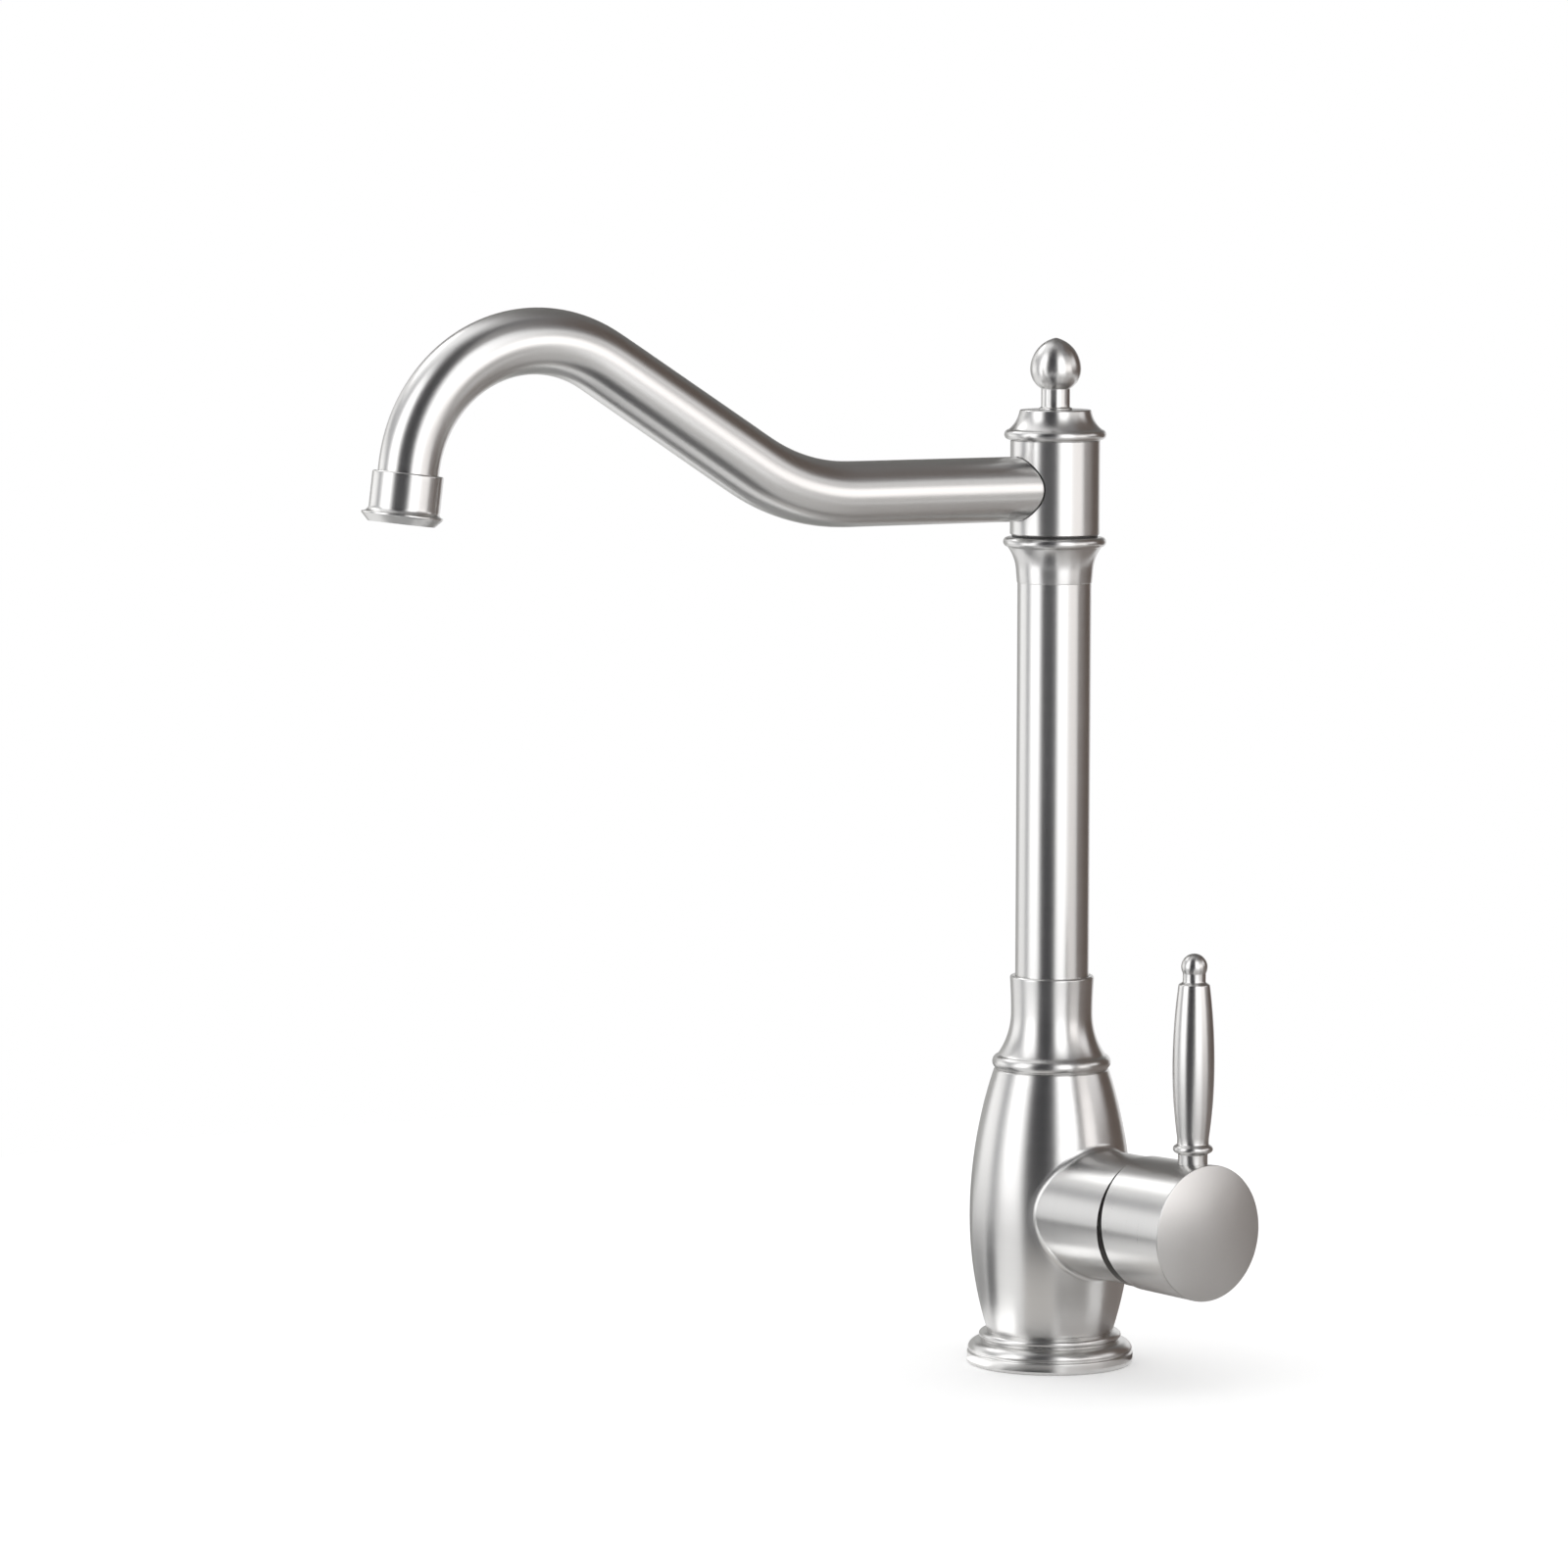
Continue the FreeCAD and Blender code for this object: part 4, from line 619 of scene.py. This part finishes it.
class FAUCET_OT_riser(bpy.types.Operator):
    """Make the neck sleeve and the riser's top collar, and finish the riser."""

    bl_idname = "faucet.riser"
    bl_label = "Riser, neck sleeve and collar"

    def execute(self, context):
        steel = upright_steel()
        dress(["riser_tube"], steel)
        low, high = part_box("neck_sleeve")
        base, top = low[2] / MM, high[2] / MM
        seat, bore = 19.5, 12.73
        foot, waist, rim = (seat - 1.3, base + 5.4), (14.05, base + 19.4), (14.5, top - 0.5)
        sleeve = [
            (seat, base), (seat, base + 0.4), (seat - 0.8, base + 4.8, 1.35), foot,
            waist + (upright_bulge(waist, foot),), rim + (upright_bulge(waist, rim),),
            (rim[0] - 0.5, top), (bore, top), (bore, base)]
        stand_for(turned_piece("flared_neck_sleeve", sleeve, True), "neck_sleeve", "root",
                  steel)
        low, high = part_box("riser_top_collar")
        tip, seam = low[2] / MM, high[2] / MM
        bead, spigot = 17.7, 11.03
        foot = seam - 3.4
        collar = [
            (bore, tip), (bore + 0.15, tip), (bore + 0.5, tip + 4.0), (bead - 1.5, foot, -0.7),
            (bead - 0.9, foot + 0.2), (bead - 0.9, seam - 0.2, 0.9), (bead - 1.6, seam),
            (spigot, seam), (spigot, foot), (bore, foot)]
        stand_for(turned_piece("riser_collar", collar, True), "riser_top_collar", "root",
                  steel)
        return {"FINISHED"}


class FAUCET_OT_head(bpy.types.Operator):
    """Finish the swivel head, and make the coved cap and the egg-shaped finial."""

    bl_idname = "faucet.head"
    bl_label = "Head, cap and finial"

    def execute(self, context):
        steel = upright_steel()
        dress(["swivel_head"], steel)
        low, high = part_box("top_cap")
        base, top = low[2] / MM, high[2] / MM
        edge, bead, brim = 15.4, 16.05, 12.3
        hole, roof = 3.03, 3.2
        cap = [
            (edge - 0.3, base), (edge - 0.3, base + 0.5), (bead, base + 3.8, 1.95),
            (brim, top - 0.3, -0.7), (brim - 0.3, top), (hole, top), (hole, top - roof),
            (9.8, top - roof), (13.0, base + 3.0), (edge - 1.17, base + 3.0), (edge - 1.17, base)]
        stand_for(turned_piece("coved_cap", cap, True), "top_cap", "spout", steel)
        stem, crest, tip = (4.95, top + 7.2), (8.75, top + 13.8), (0.9, top + 24.3)
        acorn = [
            (0, top - roof), (3.0, top - roof), (3.0, top), (5.85, top), (5.85, top + 0.5),
            (stem[0], top + 0.9), stem, crest + (upright_bulge(crest, stem),),
            tip + (upright_bulge(crest, tip),), (0, tip[1] + 0.2, 0.05)]
        stand_for(turned_piece("acorn_finial", acorn, False), "finial", "spout",
                  steel)
        return {"FINISHED"}


def averaged(values, width):
    """Each value's mean with the given number of neighbours on each side."""
    return np.convolve(np.pad(values, width, "edge"), np.ones(2 * width + 1) / (2 * width + 1),
                       "valid")


def spout_path(shape, level):
    """The spout's centreline in the XZ plane, as (length along, point, direction) arrays.

    The turn grows from nought along the first bend to the slant's angle, and falls along the
    crown to the outlet's. The point is the sum of the steps (-cos turn, sin turn). The turn's
    corners are averaged over a few millimetres, so that the curvature changes gently."""
    slant, fall = shape.slant_angle, math.pi / 2 - shape.outlet_lean
    level_run = (shape.reach - shape.first_bend * math.sin(slant)
                 - shape.slant_run * math.cos(slant)
                 - shape.crown_bend * (math.sin(slant) + math.sin(fall))
                 - shape.fall_run * math.cos(fall))
    ends = np.cumsum([0, level_run, shape.first_bend * slant, shape.slant_run,
                      shape.crown_bend * (slant + fall), shape.fall_run, 6.9 * MM])
    turns = np.array([0, 0, slant, slant, -fall, -fall, -fall])
    along = np.arange(0, ends[-1] + PATH_STEP / 2, PATH_STEP)
    soft = averaged(np.interp(along, ends, turns), int(4 * MM / PATH_STEP))
    run = np.stack([-np.cos(soft), np.zeros_like(soft), np.sin(soft)], 1)
    point = np.cumsum(run, 0) * PATH_STEP + np.array([0, 0, level])
    return along, point, run, ends


def spout_surface(shape, level, head):
    """Grid of the bent tube with its wall.

    A point at a share of the length and an angle a round the tube is the centreline plus the
    radius times (cos a along the side direction - sin a along the upper one). The radius grows
    along the first bend and shrinks over the slant and the crown. The inner end follows the
    head's round side: there the centreline length starts at the root of head radius squared less
    (radius cos a) squared, and the tube's edge is rounded off into a fine groove. The wall's
    inside runs back the same way, a millimetre in."""
    along, point, run, ends = spout_path(shape, level)
    sizes = np.array([shape.spout_radius, shape.spout_radius, shape.spout_swell,
                      (shape.spout_swell + shape.spout_radius) / 2, shape.spout_end,
                      shape.spout_end, shape.spout_end])
    bend = np.interp(along, ends, [0, 0, 1, 1, 2, 2, 2])
    radius = averaged(np.interp(along, ends, sizes), RADIUS_BLEND)
    row_length, bend_rows = 3.0 * MM, 18
    cost = np.cumsum(PATH_STEP / row_length + np.abs(np.gradient(bend)) * bend_rows)
    rows = np.interp(np.linspace(cost[0], cost[-1], int(cost[-1])), cost, along)
    rows = rows[rows > head + 4 * MM]
    around = shape.around
    angle = FULL_TURN * np.arange(around) / around
    start = np.sqrt(head ** 2 - (shape.spout_radius * np.cos(angle)) ** 2)
    # The groove's rows: their distance from the head's side, and how deep they lie.
    first = np.array([-1.2, -0.3, -0.02, 0.1, 0.2, 0.3, 0.42, 0.6, 1.0, 1.6]) * MM
    drop = np.array([0.4, 0.4, 0.38, 0.36, 0.3, 0.2, 0.09, 0.02, 0.0, 0.0]) * MM
    s = np.vstack([start[None] + first[:, None], np.repeat(rows[:, None], around, 1)])
    sunk = np.append(drop, np.zeros(len(rows)))[:, None]
    sunk[-1] = 0.2 * MM

    def shell(inset):
        r = np.interp(s, along, radius) - inset
        centre = np.stack([np.interp(s, along, point[:, k]) for k in (0, 1, 2)], -1)
        heading = np.stack([np.interp(s, along, run[:, k]) for k in (0, 1, 2)], -1)
        side = np.array([0.0, 1.0, 0.0])
        upper = np.cross(side, heading)
        return centre + r[..., None] * (np.cos(angle)[None, :, None] * side
                                        - np.sin(angle)[None, :, None] * upper)

    outside = shell(sunk)
    inside = shell(np.full_like(sunk, TUBE_WALL))
    return np.vstack([outside, inside[::-1]])


class FAUCET_OT_spout(bpy.types.Operator):
    """Make the swan-neck tube and the outlet's collar with its flared lip."""

    bl_idname = "faucet.spout"
    bl_label = "Spout and outlet"

    def execute(self, context):
        shape = context.scene.faucet_shape
        tube = grid_mesh("swan_neck_tube", spout_surface(shape, SPOUT_LEVEL, HEAD_RADIUS), True,
                         False)
        stand_for(tube, "spout_tube", "spout", tube_steel())
        along, point, run, ends = spout_path(shape, SPOUT_LEVEL)
        end = point[np.searchsorted(along, ends[5])]
        down = Vector(run[-1])
        steel = turned_steel("satin_steel_outlet", end, down)
        lip, side = 13.9, 11.7
        length, flare, bottom = 11.8, 1.7, 16.7
        socket, socket_end, bore = 10.03, 7.0, 9.33
        collar = [
            (socket, 0), (side - 0.4, 0), (side, 0.4), (side, length), (lip, length + flare, -0.5),
            (lip, length + 2.3), (side - 0.3, bottom), (bore + 0.65, bottom),
            (bore, bottom - 1.3), (bore, socket_end + 1.0), (9.0, socket_end + 1.0),
            (9.0, socket_end), (socket, socket_end)]
        piece = turned_piece("outlet_collar_with_lip", collar, True, end, down)
        self.draw_in_lip(piece.data, end, down, length * MM, flare * MM)
        stand_for(piece, "outlet_collar", "spout", steel)
        dress(["aerator_ring", "aerator_screen"],
              machined("aerator_steel", (0.6, 0.6, 0.59), 0.32))
        return {"FINISHED"}

    def draw_in_lip(self, mesh, end, down, length, flare):
        """Draw the lip's rear in, because it stands out most at the spout's front. The shift is
        the depth times the rise over the flare, from 0 to 1, times the cosine of the angle from
        straight back, where that is above 0. The bore's inside stays."""
        depth, inside = 1.2 * MM, 10.6 * MM
        points = np.empty(len(mesh.vertices) * 3)
        mesh.vertices.foreach_get("co", points)
        points = points.reshape(-1, 3)
        down = np.array(down)
        along = (points - end) @ down
        off = points - end - along[:, None] * down
        reach = np.linalg.norm(off, axis=1)
        front = np.array([down[2], 0.0, -down[0]])
        share = np.clip((along - length) / flare, 0, 1) * (reach > inside)
        share *= np.clip(-(off @ front) / reach, 0, 1)
        points += share[:, None] * depth * front
        mesh.vertices.foreach_set("co", points.ravel())
        mesh.update()


class FAUCET_OT_handle(bpy.types.Operator):
    """Finish the hub and the dark trim ring behind it, and make the turned lever."""

    bl_idname = "faucet.handle"
    bl_label = "Hub and lever"

    def execute(self, context):
        finish = context.scene.faucet_finish
        dress(["handle_hub"], hub_steel())
        dress(["bonnet"], moulded("dark_trim", finish.nylon, 0.42, 2600.0, 0.00003))
        low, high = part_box("lever_spindle")
        middle = (low + high) / 2
        stud = 9.0
        foot = low[2] / MM + stud
        bead, height, neck = 6.0, 71.8, 3.9
        waist, belly, shoulder = (5.35, 9.0), (7.1, 34.0), (5.3, height - 10.5)
        spindle = [
            (0, -stud), (3, -stud), (3, 0), (5, 0), (5, bead - 2.2), (6.2, bead - 1.6),
            (6.2, bead + 0.6, 0.6), (waist[0], bead + 1.2), waist,
            belly + (upright_bulge(belly, waist),), shoulder + (upright_bulge(belly, shoulder),),
            (neck, shoulder[1] + 0.9), (neck, height - 6.6), (0, height, 2.2)]
        origin = (middle[0], middle[1], foot * MM)
        piece = turned_piece("turned_lever", spindle, False, origin)
        stand_for(piece, "lever_spindle", "lever",
                  turned_steel("satin_steel_lever", origin, UP))
        return {"FINISHED"}


class FAUCET_OT_inside(bpy.types.Operator):
    """Finish the parts under the deck, in the swivel, in the cartridge and in the aerator."""

    bl_idname = "faucet.inside"
    bl_label = "Hidden parts"

    def execute(self, context):
        finish = context.scene.faucet_finish
        dress(["threaded_shank", "steel_washer", "mounting_nut", "spout_circlip", "set_screw",
               "pivot_pin", "cartridge_stem"], machined("machined_steel", finish.machined))
        dress(["inlet_manifold", "swivel_spigot", "cartridge_nut"],
              machined("machined_brass", finish.brass, 0.26))
        dress(["base_seal", "rubber_washer", "spigot_orings", "port_seals", "aerator_washer"],
              moulded("black_rubber", finish.rubber, 0.7, 1500.0, 0.00006))
        dress(["glide_ring", "thrust_washer"],
              moulded("dark_nylon", finish.nylon, 0.45, 2200.0, 0.00004))
        dress(["cartridge_base", "cartridge_shell", "cartridge_rotor", "disc_carrier",
               "aerator_insert"],
              moulded("moulded_plastic", finish.plastic, 0.5, 2600.0, 0.00004))
        dress(["fixed_disc", "moving_disc"],
              moulded("lapped_ceramic", finish.ceramic, 0.22, 3000.0, 0.00001))
        return {"FINISHED"}


# ---- stage ------------------------------------------------------------------------------------
def toward(azimuth, elevation, towards_camera):
    """Directions from the object, as arrays: the azimuth counts from the camera's side, positive
    to the right of the picture, and the elevation counts up from level. Both are in degrees."""
    a, e = np.radians(azimuth), np.radians(elevation)
    front = np.array([towards_camera[0], towards_camera[1], 0.0])
    front /= np.linalg.norm(front)
    right = np.array([-front[1], front[0], 0.0])
    flat = np.cos(a)[..., None] * front + np.sin(a)[..., None] * right
    return np.cos(e)[..., None] * flat + np.sin(e)[..., None] * np.array([0, 0, 1.0])


def add_card(name, u, v, points, spans, soft, colour):
    """A card that only reflections see, from grids of its map and its points. Spans are the
    lengths of its two sides, and its edges fade out over the soft length of each."""
    rows, columns = u.shape
    i, j = np.meshgrid(np.arange(rows - 1), np.arange(columns - 1), indexing="ij")
    k = (i * columns + j).ravel()
    faces = np.stack([k, k + 1, k + columns + 1, k + columns], 1)
    mesh = bpy.data.meshes.new(name)
    mesh.from_pydata(points.reshape(-1, 3).tolist(), [], faces.tolist())
    layer = mesh.uv_layers.new(name="card")
    flat = np.stack([u.ravel(), v.ravel()], 1)[faces.ravel()]
    layer.data.foreach_set("uv", flat.ravel())
    card = bpy.data.objects.new(name, mesh)
    bpy.context.scene.collection.objects.link(card)
    n = Nodes(name)
    spread = n.add("ShaderNodeUVMap", {"uv_map": "card"})
    uv = n.add("ShaderNodeSeparateXYZ", Vector=spread.outputs[0])
    share = 1.0
    for axis, extent in zip("XY", spans):
        border = min(0.5, soft / extent)
        rise = n.span(uv.outputs[axis], 0.0, border)
        fall = n.span(uv.outputs[axis], 1.0 - border, 1.0, 1.0, 0.0)
        share = n.math("MULTIPLY", share, n.math("MULTIPLY", rise, fall))
    light = n.add("ShaderNodeEmission", Color=tuple(colour) + (1.0,), Strength=1.0)
    n.surface(n.cover(share, n.add("ShaderNodeBsdfTransparent"), light))
    n.tree.nodes.remove(n.shader)
    n.material.cycles.emission_sampling = "NONE"
    mesh.materials.append(n.material)
    card.visible_camera = False
    card.visible_diffuse = False
    card.visible_transmission = False
    card.visible_volume_scatter = False
    card.visible_shadow = False


def studio_card(name, azimuths, elevations, colour, soft, distance, towards_camera):
    """A curved card round the object: part of a sphere between two azimuths and two elevations.
    Its edges fade out over the given number of degrees."""
    u, v = np.meshgrid(np.linspace(0, 1, 25), np.linspace(0, 1, 17), indexing="ij")
    azimuth = azimuths[0] + u * (azimuths[1] - azimuths[0])
    elevation = elevations[0] + v * (elevations[1] - elevations[0])
    points = toward(azimuth, elevation, towards_camera) * distance
    points += np.array([0, 0, CARD_CENTRE])
    spans = (azimuths[1] - azimuths[0], elevations[1] - elevations[0])
    add_card(name, u, v, points, spans, soft, colour)


def floor_card(name, azimuths, radii, colour, soft, height, towards_camera):
    """A flat card just over the floor: part of a ring between two azimuths and two radii. Its
    ends fade out over the given number of degrees, and its round sides over a fixed length."""
    u, v = np.meshgrid(np.linspace(0, 1, 33), np.linspace(0, 1, 9), indexing="ij")
    azimuth = azimuths[0] + u * (azimuths[1] - azimuths[0])
    radius = radii[0] + v * (radii[1] - radii[0])
    points = toward(azimuth, azimuth * 0, towards_camera) * radius[..., None]
    points += np.array([0, 0, height])
    spans = (azimuths[1] - azimuths[0], soft * (radii[1] - radii[0]) / FLOOR_CARD_FADE)
    add_card(name, u, v, points, spans, soft, colour)


CARD_CENTRE = 0.19              # height of the point that the curved cards stand round
CARD_STEP = 0.04                # how much nearer each curved card stands than the one before
FLOOR_CARD_HEIGHT = 1.0         # height of the lowest floor card, in millimetres
FLOOR_CARD_STEP = 0.1           # from one floor card up to the next, in millimetres
FLOOR_CARD_FADE = 10 * MM

CARDS = [
    # name, azimuths, elevations, brightness, softness of the edge
    ("ceiling", (-70, 150), (34, 89), (0.23, 0.225, 0.23), 9),
    ("left_ceiling", (-112, -52), (30, 89), (0.75, 0.75, 0.76), 20),
    ("far_left_ceiling", (-172, -86), (30, 89), (1.4, 1.4, 1.41), 20),
    ("right_ceiling", (2, 46), (36, 76), (0.50, 0.49, 0.48), 12),
    ("front_shade", (-44, 11), (-20, 80), (0.045, 0.045, 0.05), 8),
    ("side_shade", (75, 154), (-20, 66), (0.14, 0.11, 0.095), 8),
    ("side_light", (76, 110), (4, 34), (1.35, 1.33, 1.34), 8),
    ("left_box", (-80, -43), (-30, 54), (2.1, 2.1, 2.12), 7),
    ("right_box", (9, 47), (-18, 52), (2.1, 2.1, 2.12), 7),
    ("right_grey", (46, 78), (-30, 36), (0.50, 0.48, 0.47), 7),
    ("right_screen", (42, 79), (-8, 24), (1.9, 1.84, 1.82), 8),
    ("left_strip", (-97, -82), (-25, 54), (0.45, 0.46, 0.48), 5),
    ("left_screen", (-130, -97), (-8, 14), (1.5, 1.5, 1.5), 5),
    ("left_shade", (-118, -93), (14, 31), (0.30, 0.30, 0.31), 5),
    ("back_window", (-145, -114), (32, 50), (3.2, 3.2, 3.2), 5),
    ("back_screen", (-182, -130), (-20, 14), (0.5, 0.5, 0.49), 6),
    ("back_shade", (140, 218), (10, 89), (0.17, 0.165, 0.16), 8),
]

FLOOR_CARDS = [
    # name, azimuths, radii in metres, brightness, softness of the ends
    ("floor_front", (-43, 10), (0.14, 0.62), (0.07, 0.07, 0.075), 9),
    ("floor_front_middle", (-41, 12), (0.036, 0.15), (0.70, 0.68, 0.66), 9),
    ("floor_front_near", (-41, 8), (0.016, 0.042), (0.10, 0.10, 0.10), 9),
    ("floor_left_far", (-82, -40), (0.21, 0.62), (0.45, 0.45, 0.45), 8),
    ("floor_left_near", (-92, -44), (0.016, 0.062), (1.9, 1.9, 1.9), 9),
    ("floor_right", (8, 50), (0.14, 0.62), (0.65, 0.64, 0.63), 9),
    ("floor_right_middle", (1, 60), (0.046, 0.15), (0.34, 0.33, 0.32), 11),
    ("floor_right_near", (8, 80), (0.016, 0.05), (0.50, 0.48, 0.47), 9),
    ("floor_far_right", (44, 82), (0.10, 0.55), (0.45, 0.43, 0.42), 9),
    ("floor_side", (74, 182), (0.042, 0.62), (0.26, 0.23, 0.215), 9),
    ("floor_side_near", (70, 182), (0.016, 0.05), (0.10, 0.085, 0.08), 9),
    ("floor_left_strip", (-106, -76), (0.05, 0.35), (0.05, 0.05, 0.055), 8),
    ("floor_left", (-145, -102), (0.06, 0.30), (0.36, 0.36, 0.36), 7),
    ("floor_back", (-182, -140), (0.016, 0.62), (0.3, 0.3, 0.29), 6),
]


class FAUCET_OT_stage(bpy.types.Operator):
    """Set up the camera, the white surroundings, the floor and the studio's cards."""

    bl_idname = "faucet.stage"
    bl_label = "Stage"

    def execute(self, context):
        scene = context.scene
        studio = scene.faucet_studio
        data = bpy.data.cameras.new("camera")
        data.sensor_width = 36.0
        data.lens = studio.lens
        data.clip_end = 50.0
        camera = bpy.data.objects.new("camera", data)
        camera.location = studio.camera_at
        camera.rotation_euler = studio.camera_turn
        scene.collection.objects.link(camera)
        scene.camera = camera
        scene.view_settings.view_transform = "Standard"

        world = bpy.data.worlds.new("white_surroundings")
        world.use_nodes = True
        back = world.node_tree.nodes["Background"]
        back.inputs["Color"].default_value = (1.0, 1.0, 1.0, 1.0)
        back.inputs["Strength"].default_value = studio.world
        world.cycles.sampling_method = "NONE"
        scene.world = world

        self.floor(studio)
        front = Vector(studio.camera_at)
        for index, (name, azimuths, elevations, colour, soft) in enumerate(CARDS):
            studio_card(name, azimuths, elevations, colour, soft,
                        studio.card_distance - CARD_STEP * index, front)
        for index, (name, azimuths, radii, colour, soft) in enumerate(FLOOR_CARDS):
            floor_card(name, azimuths, radii, colour, soft,
                       (FLOOR_CARD_HEIGHT + FLOOR_CARD_STEP * index) * MM, front)
        return {"FINISHED"}

    def floor(self, studio):
        """A round pale floor with the deck's hole in it. Point (i, j) lies at the i-th radius and
        the j-th angle. It is seen from above only."""
        radii = np.array([DECK_HOLE, 0.03, 0.06, 0.12, 0.25, studio.floor])
        around = 96
        angle = FULL_TURN * np.arange(around) / around
        grid = np.stack([radii[:, None] * np.cos(angle), radii[:, None] * np.sin(angle),
                         np.zeros((len(radii), around))], -1)
        floor = grid_mesh("floor", grid[::-1], False, False)
        n = Nodes("floor_white")
        n.set(Base_Color=(0.9, 0.9, 0.9, 1.0), Roughness=1.0, Specular_IOR_Level=0.0)
        path = n.add("ShaderNodeLightPath")
        seen = n.math("MAXIMUM", path.outputs["Is Camera Ray"],
                      n.math("MAXIMUM", path.outputs["Is Glossy Ray"],
                             path.outputs["Is Transmission Ray"]))
        lift = n.add("ShaderNodeEmission", Color=(1.0, 1.0, 1.0, 1.0),
                     Strength=n.math("MULTIPLY", seen, 0.2))
        both = n.add("ShaderNodeAddShader")
        n.put(both.inputs[0], n.shader.outputs[0])
        n.put(both.inputs[1], lift.outputs[0])
        under = n.add("ShaderNodeNewGeometry").outputs["Backfacing"]
        n.surface(n.cover(under, both, n.add("ShaderNodeBsdfTransparent")))
        floor.data.materials.append(n.material)


# ---- panel and registration -------------------------------------------------------------------
PARTS = ("foot", "body", "riser", "head", "spout", "handle", "inside", "stage")


class FAUCET_PT_panel(bpy.types.Panel):
    """Lists the faucet's pieces and settings."""

    bl_idname = "FAUCET_PT_panel"
    bl_label = "Bar faucet"
    bl_space_type = "VIEW_3D"
    bl_region_type = "UI"
    bl_category = "Faucet"

    def draw(self, context):
        layout = self.layout
        for part in PARTS:
            layout.operator("faucet." + part)
        for group in ("faucet_shape", "faucet_finish", "faucet_studio"):
            settings = getattr(context.scene, group)
            box = layout.box()
            for name in settings.__annotations__:
                box.prop(settings, name)


CLASSES = (FaucetShape, FaucetFinish, FaucetStudio, FAUCET_OT_foot, FAUCET_OT_body,
           FAUCET_OT_riser, FAUCET_OT_head, FAUCET_OT_spout, FAUCET_OT_handle, FAUCET_OT_inside,
           FAUCET_OT_stage, FAUCET_PT_panel)


def register():
    for cls in CLASSES:
        bpy.utils.register_class(cls)
    bpy.types.Scene.faucet_shape = bpy.props.PointerProperty(type=FaucetShape)
    bpy.types.Scene.faucet_finish = bpy.props.PointerProperty(type=FaucetFinish)
    bpy.types.Scene.faucet_studio = bpy.props.PointerProperty(type=FaucetStudio)


def unregister():
    del bpy.types.Scene.faucet_studio
    del bpy.types.Scene.faucet_finish
    del bpy.types.Scene.faucet_shape
    for cls in reversed(CLASSES):
        bpy.utils.unregister_class(cls)


def main():
    register()
    for part in PARTS:
        if getattr(bpy.ops.faucet, part)() != {"FINISHED"}:
            raise RuntimeError("the operator for the " + part + " did not finish")


if __name__ == "__main__":
    main()
